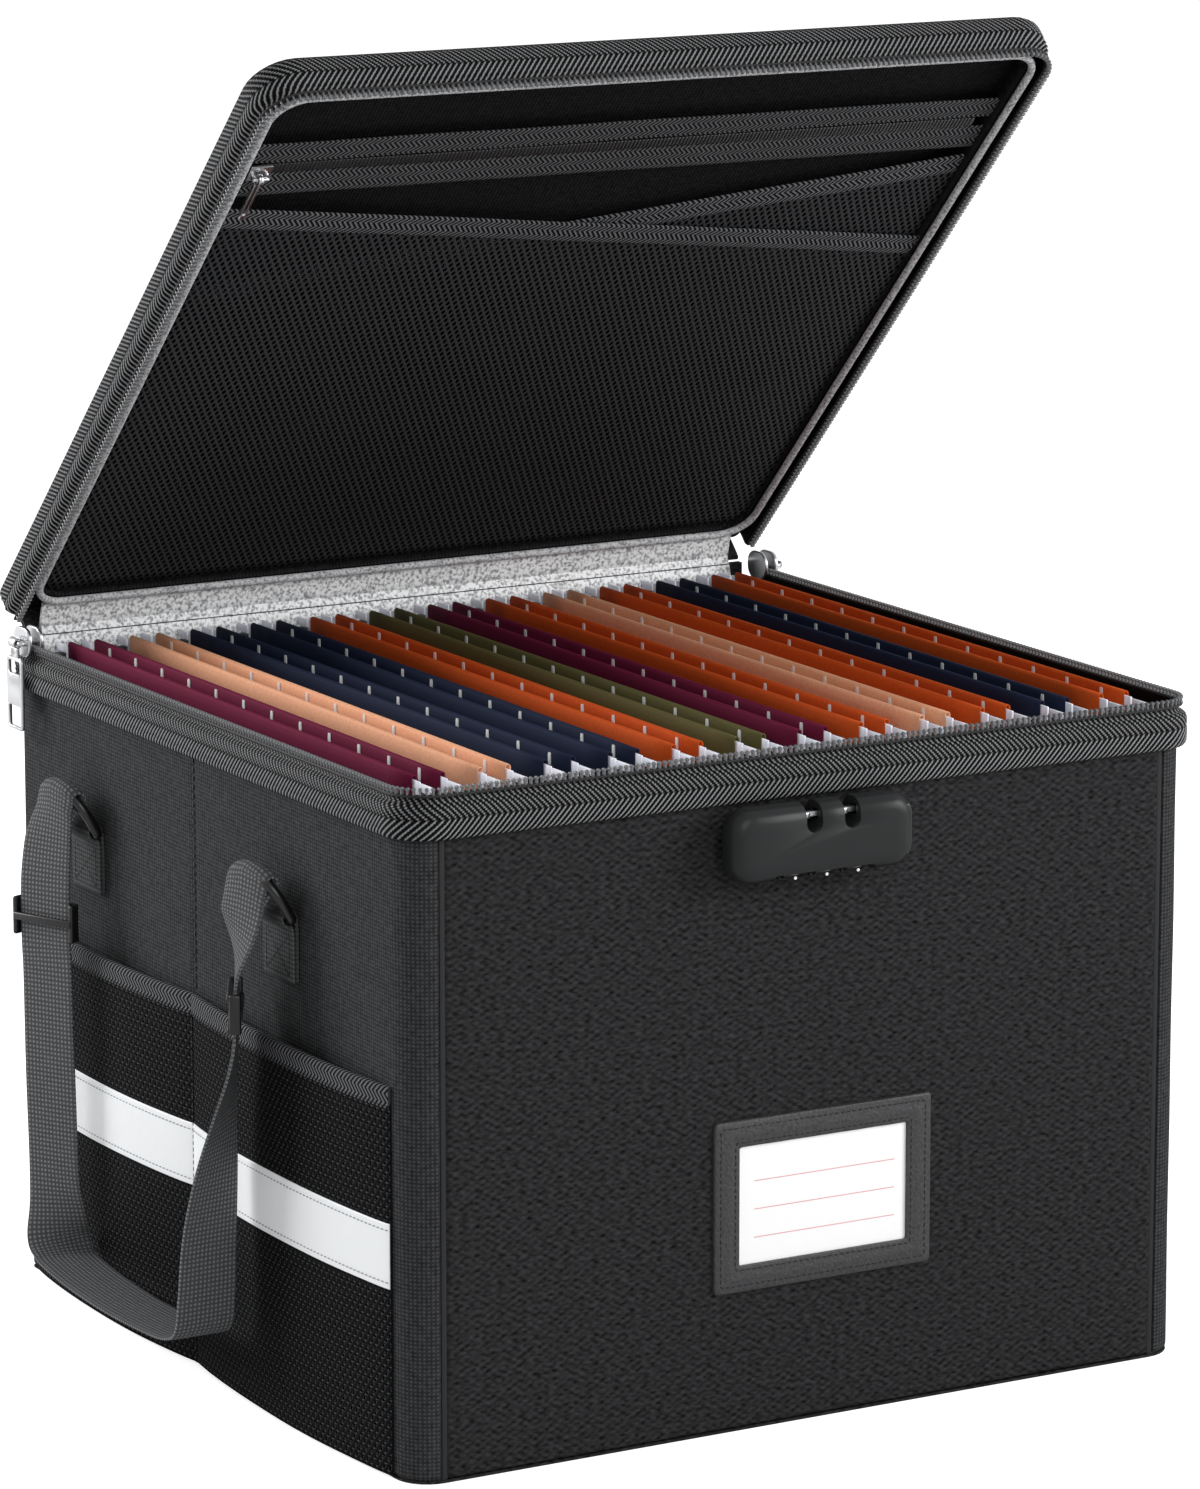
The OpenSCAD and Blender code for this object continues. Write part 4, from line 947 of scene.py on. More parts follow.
def rib_height(along_mm, across_mm, middle):
    """Rib waves from 0 to 1: rows lean away from the band's middle on both sides, so
    neighbouring rows meet in a point; the wave is flat-topped with clear gaps."""
    phase = (along_mm + RIB_SLANT * np.abs(across_mm - middle)) / RIB_PITCH
    wave = 0.5 + 0.5 * np.cos(2 * np.pi * phase)
    return np.clip(2.3 * wave - 0.95, 0, 1)


def band(name, plan, low, high, body, node, lid=False):
    """Padded band on a line seen from above. Beside the teeth it is flat tape, which the slider's
    plates can pass; past that its outer face bulges as a flattened half oval, dips slightly at
    the middle and carries the ribs. Its inner face is flat."""
    z = np.linspace(low, high, 23)
    run = running(plan)
    far = np.abs(z).max()
    share = np.clip((np.abs(z) - FLAT_TO) / (far - FLAT_TO), 0, 1)
    puff = FLAT_T + (BAND_OUT - FLAT_T) * (1 - np.abs(2 * share - 1) ** 6.0) ** 0.5
    middle = (low + high) / 2
    seam = 0.3 * np.exp(-((z - middle) / 0.6) ** 2)
    ribs = rib_height(run[:, None], z[None], middle)
    inside = np.clip(np.minimum(share, 1 - share) / 0.06, 0, 1)
    shown = np.clip((high - z) * (z - low) / 14, 0, 1)
    offset = puff - seam * inside + RIB_DEPTH * (ribs - 1) * inside
    out = plan_normals(plan)
    outer = lift(plan[:, None] + out[:, None] * offset[..., None],
                 np.broadcast_to(z, offset.shape))
    back = z[::-1][1:-1:4]
    inner = lift(np.broadcast_to(plan[:, None] + out[:, None] * 0.02, (len(plan), len(back), 2)),
                 np.broadcast_to(back, (len(plan), len(back))))
    grid = np.concatenate([outer, inner], 1)
    made = skin(name, on_lid(grid) if lid else grid + [0, 0, RIM], wrap_v=True, caps=True,
                smooth=80)
    # The rib attribute paints shade into the band's colour: full on the ribs' tops, nothing in the
    # grooves, close to the band's edges and less along its middle seam
    height = np.concatenate([ribs * shown * (1 - 0.3 * np.exp(-((z - middle) / 0.4) ** 2)),
                             np.zeros((len(plan), len(back)))], 1)
    level = made.data.attributes.new("rib", "FLOAT", "POINT")
    level.data.foreach_set("value", height.ravel().astype(np.float32))
    place(outward(made), body, band_cloth, node)


rim_line = u_line(0.0, RIB_PITCH / 6)
band("box_band", rim_line, -20.6, -TAPE_EDGE, "box", "body_zip_tape")
band("lid_band", rim_line, TAPE_EDGE, 19.4, "lid", "lid_zip_tape", lid=True)
print("bands:", len(rim_line), "steps along", round(len(rim_line) * RIB_PITCH / 6), "mm")

# %% [markdown]
# ## Zip teeth
# Moulded teeth sit on a cord along each band's edge, one every 2.35 mm. A tooth is a small rounded
# bar; the whole row is one mesh of copies set along the outline.


# %% Teeth
# The rows stand this far inside the wall's face; less than nothing is outside it
TEETH_INSET = -1.2


def teeth(name, low, high, body, node, lid=False):
    """A row of teeth between two heights: a bar at every pitch along the outline with a head
    at its tip, and a cord under them."""
    at = on_lid if lid else lambda points: points + np.array([0, 0, RIM])
    way = lid_way if lid else np.asarray
    up = 1.0 if high > low else -1.0
    tall = abs(high - low)
    plan = u_line(TEETH_INSET, TOOTH_PITCH, end=3.0)
    cord_line = u_line(TEETH_INSET, 2.0, end=0.5)
    axes = (way(np.array([0.0, 0.0, up])), way(lift(along(plan), 0.0)),
            way(lift(plan_normals(plan), 0.0)))
    bars = repeat("bars", *bead(tall, 0.85, 1.6), at(lift(plan, low + up * tall / 2)), *axes)
    tips = repeat("tips", *bead(1.4, 1.45, 2.2, rings=4), at(lift(plan, high - up * 0.7)), *axes)
    cord = sweep("cord", at(lift(cord_line, low + up * 0.3)),
                 way(lift(plan_normals(cord_line), 0.0)), pill(2.0, 1.2, 0.8, 10))
    row = joined(name, [painted(bars, zip_plastic), painted(tips, zip_plastic),
                        painted(cord, black_thread)])
    return place(outward(row), body, None, node)


teeth("box_teeth", -TAPE_EDGE, -TOOTH_TIP, "box", "body_zip_teeth")
teeth("lid_teeth", TAPE_EDGE, TOOTH_TIP, "lid", "lid_zip_teeth", lid=True)
print("teeth done")

# %% [markdown]
# ## Lid
# The lid is a shallow tray: cloth over a board, a padded black rim round its mouth, a speckled cord
# of piping on the rim and a woven silver strip that bridges the hinge. All of it is drawn for the
# shut lid and turned open by the on_lid function, so it meets the band and the teeth.

# %% Lid top, lining, piping and hinge strip
lid_top = stack("lid_top_cloth", [
    on_lid(lift(outline(inset, max(CORNER - inset, 1), max(REAR_CORNER - inset, 1)), z))
    for inset, z in ((0.6, 18.7), (-1.7, 18.75), (-2.5, 19.1), (-2.2, 19.7), (-1.2, LID_TOP),
                     (6.0, LID_TOP + 0.05))])
place(put_uv_from_above(lid_top, tilt=True), "lid", lid_cloth, "lid_cover")
flap_path = on_lid(line((-167.4, HINGE_Y - 1.2, 9.5), (167.4, HINGE_Y - 1.2, 9.5), 6))
flap = sweep("lid_rear_flap", flap_path, lid_way([0, 1, 0]), pill(TAPE_OUT, 18.4, 0.35, 28))
place(flap, "lid", front_cloth, slot="side_cloth")


def mouth_loop(grow, z):
    """The lid mouth's outline grown by some millimetres, at a height above the rim plane."""
    return on_lid(lift(outline(5.2 - grow, 12 + grow, 12 + grow, rear_inset=13.0 - grow), z))


def cushion():
    """Padded rim: from the outer wall over a soft round edge of 3.2 mm into the mouth and down
    to the panel, which is one flat loop filled in."""
    edge, panel = 6.7, 15.0
    wall_loops = [on_lid(lift(outline(0.2, CORNER, REAR_CORNER), z)) for z in (15.7, 10.5)]
    round_over = [mouth_loop(3.2 * np.sin(a), edge + 3.2 * (1 - np.cos(a)))
                  for a in np.radians(np.linspace(90, 0, 7))]
    soft = [mouth_loop(-1.6 * np.sin(np.pi * k), edge + (panel - edge) * k)
            for k in (0.2, 0.4, 0.6, 0.8)]
    return stack("lid_padded_lining", wall_loops + round_over + soft + [mouth_loop(-1.0, panel)])


lid_lining = cushion()
place(put_uv_from_above(lid_lining, tilt=True), "lid", lining_cloth, "lid_lining")


def piping_loop():
    """The piping's line: fine steps, with the outline's own round corners."""
    w, f, b, r = 167.3, -162.3, 154.5, 13.5
    loop = chain(arc(-w + r, f + r, r, 180, 270, 16), line((-w + r, f), (w - r, f), 3),
                 arc(w - r, f + r, r, 270, 360, 16), line((w, f + r), (w, b - r), 3),
                 arc(w - r, b - r, r, 0, 90, 16), line((w - r, b), (-w + r, b), 3),
                 arc(-w + r, b - r, r, 90, 180, 16), line((-w, b - r), (-w, f + r), 3))[:-1]
    return on_lid(lift(loop, 5.2))


piping = sweep("lid_piping_cord", piping_loop(), lid_way([0, 0, 1]), pill(3.0, 3.0, 1.0, 12),
               wrap=True)
place(outward(piping), "lid", piping_cloth, "lid_piping")

# Section of the silver strip: its distance to the back and height above the rim
strip_section = np.array([(165.8, 0.6), (165.8, 2.2), (163.2, 3.4), (160.0, 5.2), (156.3, 6.6),
                          (156.3, 5.4), (159.6, 3.9), (162.6, 2.1), (164.8, 0.6)])
strip_grid = spread(np.linspace(-161.6, 161.6, 160), strip_section)
strip_grid[..., 2] += 0.22 * waves(strip_grid[..., 0], strip_grid[..., 1] * 0.3, 28, 6)
hinge = outward(skin("hinge_woven_strip", on_lid(strip_grid), wrap_v=True, caps=True))
place(hinge, "lid", hinge_cloth, "hinge_strip")
print("lid shell done")

# %% [markdown]
# ## Pockets inside the lid
# A coil zip closes a long pocket near the lid's free edge; below it two mesh pockets overlap, with
# slanted, bound mouths that cross in an X. Tapes and bindings are thin cloth strips that stand a
# little off the lining, with soft edges.


# %% Lid pocket strips
def across_lid(x, along_lid, height):
    """Points on the open lid from x, the distance from the hinge line and the height."""
    y = HINGE_Y - np.asarray(along_lid, float)
    return on_lid(np.stack(np.broadcast_arrays(x, y, height), -1))


lid_up, lid_across = lid_way([0, 0, 1]), lid_way([0, 1, 0])
# The pockets end this far from the lid's middle
POCKET_HALF = 165.0


def lid_strip(name, from_at, to_at, width, height, thick, paint, slot_name, *replaced, seed):
    """Cloth strip across the lid between two distances from the hinge (left and right end)."""
    x = np.linspace(-POCKET_HALF, POCKET_HALF, 84)
    at = from_at + (to_at - from_at) * (x + POCKET_HALF) / (2 * POCKET_HALF)
    sag = 0.35 * waves(x, 0 * x, 60, seed)
    path = across_lid(x, at + sag * 0.5, height + 0.25 * sag)
    place(sweep(name, path, lid_across, pill(width, thick, 0.45, 24)), "lid", paint, *replaced,
          slot=slot_name)


lid_strip("pocket_tape_upper", 293.5, 293.5, 11.0, 9.6, 1.0, pocket_tape_cloth,
          "zip_tape_cloth", "pocket_zip_tape", seed=11)
lid_strip("pocket_tape_lower", 275.5, 275.5, 13.0, 9.6, 1.0, pocket_tape_cloth, "zip_tape_cloth",
          seed=12)

COIL_AT = 285.0
coil_x = np.arange(-157, 157, 1.6)
coil = repeat("coil", *bead(5.4, 1.0, 1.5), across_lid(coil_x, COIL_AT, 9.2), lid_across,
              (1, 0, 0), lid_up)
core = sweep("core", across_lid(np.linspace(-158, 158, 60), COIL_AT, 9.4), lid_across,
             pill(4.6, 0.9, 0.6, 12))
place(outward(joined("pocket_zip_coil", [coil, core])), "lid", coil_plastic, "pocket_zip_teeth")


# %% Lid mesh pockets
def lid_net(name, left_mouth, right_mouth, height, node, seed):
    """Mesh between the pocket's foot and its slanted mouth: a grid that bags outwards a little,
    most at its middle: a sine along it times a sine up it."""
    x = np.linspace(-POCKET_HALF, POCKET_HALF, 60)[:, None]
    share = (x + POCKET_HALF) / (2 * POCKET_HALF)
    mouth = left_mouth + (right_mouth - left_mouth) * share - 6
    t = np.linspace(0, 1, 40)[None]
    foot = 18.0 + 8.0 * np.clip((np.abs(x) - 157) / 8, 0, 1) ** 2
    at = foot + (mouth - foot) * t
    bag = 1.1 * np.sin(np.pi * share) ** 0.5 * np.sin(np.pi * t) + 0.35 * waves(x, at, 55, seed)
    grid = across_lid(x + 0 * at, at, height - 0.35 - bag * 0.8)
    net = skin(name, grid, uv=np.stack(np.broadcast_arrays(x, at), -1))
    modifier(net, "SOLIDIFY", thickness=0.35 * MM, offset=0.0)
    place(applied(net), "lid", lid_mesh, node)


lid_net("inner_net", 214, 264, 10.0, "inner_mesh_pocket", 21)
lid_net("outer_net", 264, 214, 8.5, "outer_mesh_pocket", 22)
lid_strip("inner_net_binding", 208, 258, 11.0, 9.7, 1.2, pocket_edge_cloth, "mesh_cloth", seed=13)
lid_strip("outer_net_binding", 258, 208, 11.0, 8.0, 1.2, pocket_edge_cloth, "mesh_cloth", seed=14)
print("lid pockets done")

# %% [markdown]
# ## Small slider and pull of the lid pocket
# A die-cast slider body rides on the coil, and its thin pull hangs down the lid from the bridge.

# %% Pocket slider
SLIDER_X, EYE_X, EYE_Z = -159.0, -159.6, 4.2


def solid_box(name, size, centre, radius, segments=2):
    """A block with rounded edges from its size and centre, for small metal parts."""
    work = bmesh.new()
    bmesh.ops.create_cube(work, size=1.0)
    for v in work.verts:
        v.co = Vector([v.co[k] * size[k] for k in range(3)])
    bmesh.ops.bevel(work, geom=work.edges[:], offset=radius, segments=segments, profile=0.5,
                    affect="EDGES")
    mesh = bpy.data.meshes.new(name)
    work.to_mesh(mesh)
    work.free()
    mesh.polygons.foreach_set("use_smooth", np.ones(len(mesh.polygons), bool))
    mesh.uv_layers.new(name="UVMap")
    made = bpy.data.objects.new(name, mesh)
    scene.collection.objects.link(made)
    mesh.transform(Matrix.Translation(Vector(centre)))
    mesh.transform(Matrix.Scale(MM, 4))
    mesh.set_sharp_from_angle(angle=math.radians(40))
    return made


def tipped(piece):
    """Turns a piece drawn for the shut lid to the open lid, as on_lid does its points."""
    m = (Matrix.Translation((0, HINGE_Y * MM, RIM * MM)) @ Matrix.Rotation(-LID_OPEN, 4, "X")
         @ Matrix.Translation((0, -HINGE_Y * MM, 0)))
    piece.data.transform(m)
    return piece


ly = HINGE_Y - COIL_AT
plate = solid_box("plate", (9.5, 8, 1.3), (SLIDER_X + 0.5, ly, 7.5), 0.55)
posts = [solid_box("post", (1.3, 1.9, 3.2), (SLIDER_X + dx, ly, 5.4), 0.4) for dx in (-3.0, 3.0)]
rod = solid_box("rod", (7.0, 1.8, 1.8), (SLIDER_X, ly, EYE_Z), 0.8, 3)
place(tipped(joined("pocket_slider_body", [plate, *posts, rod])), "pocket_zip_slider",
      bright_metal, "pocket_slider")
t = np.linspace(0, 2 * np.pi, 25)[:-1]
eye_line = np.stack([np.full(24, EYE_X), ly + 1.75 * np.cos(t), EYE_Z + 1.75 * np.sin(t)], -1)
eye = outward(sweep("eye", eye_line, (1, 0, 0), pill(2.0, 1.1, 0.7, 12), wrap=True))
bars = [solid_box("bar", (0.9, 18.5, 1.5), (EYE_X + dx, ly + 12.0, EYE_Z), 0.35)
        for dx in (-0.9, 0.9)]
tip = solid_box("tip", (2.8, 3.4, 1.7), (EYE_X, ly + 21.6, EYE_Z), 0.7, 3)
place(tipped(joined("pocket_pull_tab", [eye, *bars, tip])), "pocket_zip_pull", bright_metal,
      "pocket_pull")
print("pocket slider and pull done")

# %% [markdown]
# ## Rails and hanging folders
# Two plastic rails run across the box under the rim. Each folder is one sheet of dyed card, folded
# to a V at its foot and over a white plastic bar at each top edge; the bars' hooked tips stick out
# past the card and hang on the rails. Small slots along one flap hold index tabs.


# %% Rails
RAIL_HALF = 160.4


def rail(name, side, node):
    """Channel rail: its section (foot, wall and raised lip) is carried across the box."""
    lip = np.array([(161.0, 242.6), (161.0, 244.0), (158.2, 244.2), (158.0, 256.4), (157.2, 257.7),
                    (156.0, 258.0), (154.0, 258.0), (152.8, 257.7), (152.0, 256.4), (152.0, 242.6),
                    (153.5, 242.6), (153.5, 256.0), (156.5, 256.0), (156.5, 242.6)])
    grid = spread(np.linspace(-RAIL_HALF, RAIL_HALF, 12), lip * [side, 1])
    made = outward(skin(name, grid, wrap_v=True, caps=True, smooth=30))
    return place(made, "box", rail_plastic, node)


rail("front_rail_channel", -1, "front_rail")
rail("rear_rail_channel", 1, "rear_rail")
print("rails:", 2 * RAIL_HALF, "mm long")

# %% Folder
FIRST_FOLDER, FOLDER_PITCH, FOLDER_FOOT, CARD_HALF = -152.0, 27.3, 33.0, 146.0
FLAP_TOP = 251.0
FOLDER_COLOURS = ["maroon", "peach", "navy", "navy", "orange", "olive", "maroon", "orange",
                  "peach", "orange", "navy", "orange"]


def flap_line(side, seed):
    """Half of the folder's section in x and z: from the foot up the flap, over the bar and down
    its inner side. Small seeded numbers let each flap lean its own way."""
    bow = np.random.default_rng(seed).uniform(-0.8, 0.8)
    z = np.linspace(FOLDER_FOOT, FLAP_TOP, 14)
    t = (z - FOLDER_FOOT) / (FLAP_TOP - FOLDER_FOOT)
    x = 1.1 + (6.6 - 1.1) * t + bow * np.sin(np.pi * t)
    rise = np.stack([x, z], -1)
    top = arc(5.8, 262.6, 1.0, 0, 180, 7)
    outer = np.array([(6.62, 253), (6.75, 256), (6.8, 260)])
    inner = np.array([(4.82, 258), (4.85, 253.5)])
    return chain(rise, outer, top, inner) * [side, 1]


def folder(number, colour):
    """Card: both flaps' line carried front to back and thickened to 0.45 mm; the ends are cut
    straight. Bars: long thin strips with a hook at each tip."""
    centre = FIRST_FOLDER + FOLDER_PITCH * (number - 1)
    left, right = flap_line(-1, number * 2), flap_line(1, number * 2 + 1)
    foot = arc(0, FOLDER_FOOT, 1.1, 180, 360, 9)
    section = chain(left[::-1], foot, right)
    y = np.linspace(-CARD_HALF, CARD_HALF, 16)
    grid = np.stack([np.broadcast_to(centre + section[:, 0], (16, len(section))),
                     np.broadcast_to(y[:, None], (16, len(section))),
                     np.broadcast_to(section[:, 1], (16, len(section)))], -1)
    high = np.clip((grid[..., 2] - 60) / 190, 0, 1)
    lean = 0.25 * waves(grid[..., 1], 0 * high, 180, 300 + number) * (1 - high)
    grid = grid + np.stack([lean, 0 * lean, 0 * lean], -1)
    card = skin("card", grid)
    modifier(card, "SOLIDIFY", thickness=0.45 * MM, offset=0.0)
    pieces = [painted(applied(card), CARDS[colour])]
    for side in (-1, 1):
        x = centre + side * 5.6
        strip = solid_box("strip", (1.1, 300, 9.6), (x, 0, 257.2), 0.4)
        hooks = [solid_box("hook", (1.1, 9.4, 3.2), (x, e * 155.6, 260.0), 0.4) for e in (-1, 1)]
        tips = [solid_box("tip", (1.1, 1.7, 8.6), (x, e * 159.4, 255.9), 0.4) for e in (-1, 1)]
        pieces += [painted(piece, bar_plastic) for piece in [strip, *hooks, *tips]]
    slots = lift(np.stack([np.full(12, centre + 4.35), np.linspace(-131, 131, 12)], -1), 260.3)
    tabs = repeat("tab_slots", *bead(4.6, 0.6, 2.1, end=0.85), slots, (0, 0, 1), (1, 0, 0),
                  (0, 1, 0))
    node = "folder_%02d" % number
    made = joined(node + "_card", pieces + [painted(tabs, white_enamel)])
    place(made, "hung_" + node, None, node)


for number, colour in enumerate(FOLDER_COLOURS, 1):
    folder(number, colour)
print("folders:", len(FOLDER_COLOURS))

# %% [markdown]
# ## Combination lock
# A painted zinc housing sits under the band in the middle of the front. Its top has two slots that
# take the zip pulls, a bright latch bar crosses them inside, three number wheels show underneath,
# and a button closes its right end. The housing is a stack of rounded rectangles from the wall
# outwards. The slots and the rooms for wheels, button and latch are then cut out of it, because
# holes with crisp edges are easier to cut than to draw.

# %% Lock sizes
LOCK_X, LOCK_Z, LOCK_W, LOCK_H, LOCK_T = -4.0, 229.5, 80.0, 29.0, 17.0
SLOT_XS = (-9.5, 7.0)
DIAL_XS, DIAL_Y, DIAL_Z = (-17.7, -4.0, 9.7), -175.0, 221.6
LATCH_Y, LATCH_Z = -177.0, 239.0
BUTTON_Y = -174.9


def cut(piece, cutters, operation="DIFFERENCE"):
    """Takes the cutters' shapes out of a piece, or keeps what is inside them, then removes
    the cutters."""
    for cutter in cutters:
        modifier(piece, "BOOLEAN", object=cutter, operation=operation, solver="EXACT")
    applied(piece)
    for cutter in cutters:
        bpy.data.objects.remove(cutter)
    return piece


def lock_block():
    """Housing: loops from the wall outwards. Each loop is a rounded rectangle, drawn in at the
    front by a quarter circle so that the front edges are fully round."""
    loops = []
    for y, inset in ((0.0, 6.2), (3.6, 5.6), (5.4, 2.6), (7.0, 0.5), (10.5, 0.1), (13.2, 0.75),
                     (14.8, 1.7), (15.9, 2.9), (16.6, 4.3), (LOCK_T, 6.4), (LOCK_T + 0.1, 10.0)):
        w, h, r = LOCK_W / 2 - inset, LOCK_H / 2 - inset * 0.9, 9.0 - inset * 0.5
        x, z = rounded_loop(-w, w, -h, h, (r, r), 10).T
        loops.append(np.stack([LOCK_X + x, np.full(40, -DEEP / 2 - y), LOCK_Z + z], -1))
    return stack("lock_body", loops)


def tube_along(name, points, across, radius, count=24):
    """A round bar along a line of points."""
    return outward(sweep(name, points, across, pill(2 * radius, 2 * radius, 1.0, count)))


body = lock_block()
cutters = []
for x in SLOT_XS:
    path = np.array([(x, -140, LOCK_Z + 7.0), (x, -200, LOCK_Z + 7.0)])
    cutters.append(tube_along("slot_end", path, (1, 0, 0), 3.5))
    cutters.append(solid_box("slot_top", (7.0, 60, 16), (x, -170, LOCK_Z + 15.0), 0.02, 1))
for x in DIAL_XS:
    room = np.array([(x - 3.8, DIAL_Y, DIAL_Z), (x + 3.8, DIAL_Y, DIAL_Z)])
    cutters.append(tube_along("wheel_room", room, (0, 0, 1), 7.5, 32))
cutters.append(solid_box("foot_gap", (46, 60, 6), (LOCK_X, -170, LOCK_Z - 14.5), 2.6, 3))
cutters.append(solid_box("button_room", (14.3, 13.2, 20.6), (32.9, BUTTON_Y, LOCK_Z), 0.5, 1))
cutters.append(solid_box("latch_room", (54, 4.8, 3.8), (6.5, LATCH_Y, LATCH_Z), 0.2, 1))
cut(body, cutters)
body.data.set_sharp_from_angle(angle=math.radians(35))
modifier(body, "BEVEL", width=0.35 * MM, segments=2, limit_method="ANGLE",
         angle_limit=math.radians(40))
# The lock's second finish is black: painted shade inside the slots and the wheels' rooms
painted(applied(body), lock_shell, hard_plastic)

# The inner faces of the slots and of the wheels' rooms take the black finish as painted shade,
# since little light reaches into them
x, y, z = (numbers(body.data.polygons, "center") / MM).T
shaded_slot_faces = (np.abs(x[:, None] - SLOT_XS) < 3.7).any(1) & (y > -181.2) & (z > 232)
shaded_room_faces = (np.abs(x - LOCK_X) < 22) & (y > -181) & (z < 229)
body.data.polygons.foreach_set("material_index", (shaded_slot_faces | shaded_room_faces).astype(int))
# Painted highlights: three white dots under the number wheels, where their edges glint
wheel_glints = repeat("wheel_glints", *bead(0.5, 1.3, 1.3, power=1.0, end=0.8),
              [(x, -182.6, 216.6) for x in DIAL_XS], (0, 1, 0), (1, 0, 0), (0, 0, 1))
lock = joined("lock_case", [body, painted(wheel_glints, white_enamel)])
lock.data.set_sharp_from_angle(angle=math.radians(35))
place(lock, "box", None, "lock_housing")
print("lock case:", len(lock.data.polygons), "faces")


# %% Number wheels, button and latch
def wheel(x):
    """Number wheel: a wheel section turned about X; ten shallow finger grooves are cosine dips,
    and its corners are rounded."""
    t = np.linspace(0, 2 * np.pi, 120, endpoint=False)
    groove = np.clip(np.cos(10 * t), 0.55, 1) - 0.55
    across = np.array([(-3.4, 5.0), (-3.4, 6.2), (-3.0, 6.7), (0.0, 6.95), (3.0, 6.7), (3.4, 6.2),
                       (3.4, 5.0), (3.4, 2.2), (-3.4, 2.2)])
    depth = np.where(across[:, 1] > 5.5, 1.6, 0)
    radius = across[:, 1:] - depth[:, None] * groove
    grid = np.stack([np.broadcast_to(x + across[:, :1], radius.shape),
                     DIAL_Y + radius * np.cos(t), DIAL_Z + radius * np.sin(t)], -1)
    return outward(skin("wheel", grid, wrap_u=True, wrap_v=True))


for i, x in enumerate(DIAL_XS, 1):
    made = wheel(x)
    made.name = "number_wheel_%d" % i
    place(made, "dial_%d" % i, lock_dial_plastic, "lock_dial_%d" % i)

key = lock_block()
key.name = "button_cap"
cut(key, [solid_box("cap_shape", (20.0, 12.6, 19.4), (41.2, BUTTON_Y, LOCK_Z), 0.8)], "INTERSECT")
key.data.set_sharp_from_angle(angle=math.radians(35))
place(key, "button", button_paint, "lock_button")
bar = solid_box("latch", (42.5, 2.6, 2.0), (8.4, LATCH_Y, LATCH_Z), 0.3)
pins = [solid_box("pin", (4.0, 2.2, 2.4), (x - 1.3, LATCH_Y - 0.6, LATCH_Z - 0.4), 0.5)
        for x in SLOT_XS]
place(joined("latch_bar", [bar, *pins]), "button", bright_metal, "lock_latch")
print("wheels:", len(DIAL_XS), "and one button with its latch")

# %% [markdown]
# ## Label window
# A leather-grain vinyl frame is sewn to the front with two rows of black stitches and holds a plain
# white card with three pale ruled lines. The frame is a closed section (rounded outer edge, flat
# face, thin inner edge) carried round a rectangle.

# %% Label
LABEL_X, LABEL_Z = 5.0, 88.5


def rounded_rect(w, h, r):
    """Closed rounded rectangle about the label's middle, as points in x and z."""
    return rounded_loop(-w / 2, w / 2, -h / 2, h / 2, (r, r), 6, 10)


def on_front(xz, out):
    """Points on the front panel's face, standing out by some millimetres."""
    return np.stack([LABEL_X + xz[..., 0], np.full(xz.shape[:-1], -DEEP / 2) - out,
                     LABEL_Z + xz[..., 1]], -1)


def label_frame():
    """Frame: nested rounded rectangles from the outer edge to the window and back underneath;
    the face swells a little between the stitch rows and wrinkles slightly at the top."""
    # Width, height and corner radius of each loop, and how far it stands off the front
    steps = [(96.0, 67.0, 2.0, 0.05), (96.0, 67.0, 2.0, 1.0), (95.4, 66.4, 1.9, 1.5),
             (94.2, 65.2, 1.8, 1.75), (90.5, 61.5, 1.6, 1.6), (86.0, 57.4, 1.4, 2.05),
             (81.5, 53.2, 1.2, 1.95), (78.0, 49.8, 1.1, 1.6), (75.2, 47.1, 1.0, 1.75),
             (74.2, 46.2, 0.9, 1.5), (74.0, 46.0, 0.8, 1.1), (74.0, 46.0, 0.8, 0.8),
             (80.0, 52.0, 0.8, 0.75), (80.0, 52.0, 0.8, 0.05)]
    loops = []
    for w, h, r, out in steps:
        loop = rounded_rect(w, h, r)
        x, z = loop.T
        wrinkle = 0.12 * np.sin(x * 2.1 + 0.4 * z) * (z > 22) * (out > 1.4)
        loops.append(on_front(loop, out + wrinkle))
    return outward(skin("label_frame", np.stack(loops), wrap_u=True, wrap_v=True))


place(label_frame(), "box", label_leatherette, "label_holder")
card = solid_box("card", (79, 0.5, 51), (LABEL_X, -DEEP / 2 - 0.35, LABEL_Z), 0.1, 1)
rules = [solid_box("rule", (62, 0.1, 0.35), (LABEL_X + 1, -DEEP / 2 - 0.62, LABEL_Z + dz), 0.02, 1)
         for dz in (9, -2, -13)]
place(joined("label_paper", [painted(card, label_card_stock),
                             *[painted(rule, label_line_ink) for rule in rules]]),
      "box", None, "label_card")
for w, h, out in ((90.5, 61.5, 1.62), (77.8, 49.6, 1.62)):
    loop = rounded_rect(w, h, 1.5)
    stitches("label_stitches_%d" % w, on_front(np.concatenate([loop, loop[:1]]), out), (0, -1, 0),
             black_thread, "box", width=0.5, height=0.35)
print("label done")

# %% [markdown]
# ## Side pockets
# On each side wall a mesh pocket in two halves stands off the wall like two shallow bags, sewn down
# at the front seam, the fold and the rear. A ribbed binding edges its mouth and a bright reflective
# strip is sewn across it. The cloth follows one bowed line seen from above: half a sine per half.


# %% Side pocket functions
def pocket_plan(side, off):
    """The pocket's front line: in each half it stands off by a sine to the power 0.7, so it
    rises fast from the seams and is flat in the middle."""
    t = 0.5 - 0.5 * np.cos(np.linspace(0, np.pi, 46))
    halves = [np.stack([WIDE / 2 + off + 5.5 * np.sin(np.pi * t) ** 0.7, y0 + (y1 - y0) * t], -1)
              for y0, y1 in ((-DEEP / 2 + CORNER, FOLD_Y), (FOLD_Y, DEEP / 2 - 9))]
    plan = chain(*halves)
    return plan * [-1, 1] if side < 0 else plan


def pocket_out(side, plan):
    """Outward directions along a pocket line, away from the wall."""
    out = plan_normals(plan)
    return out * np.sign(out[:, :1] * side + 1e-9)


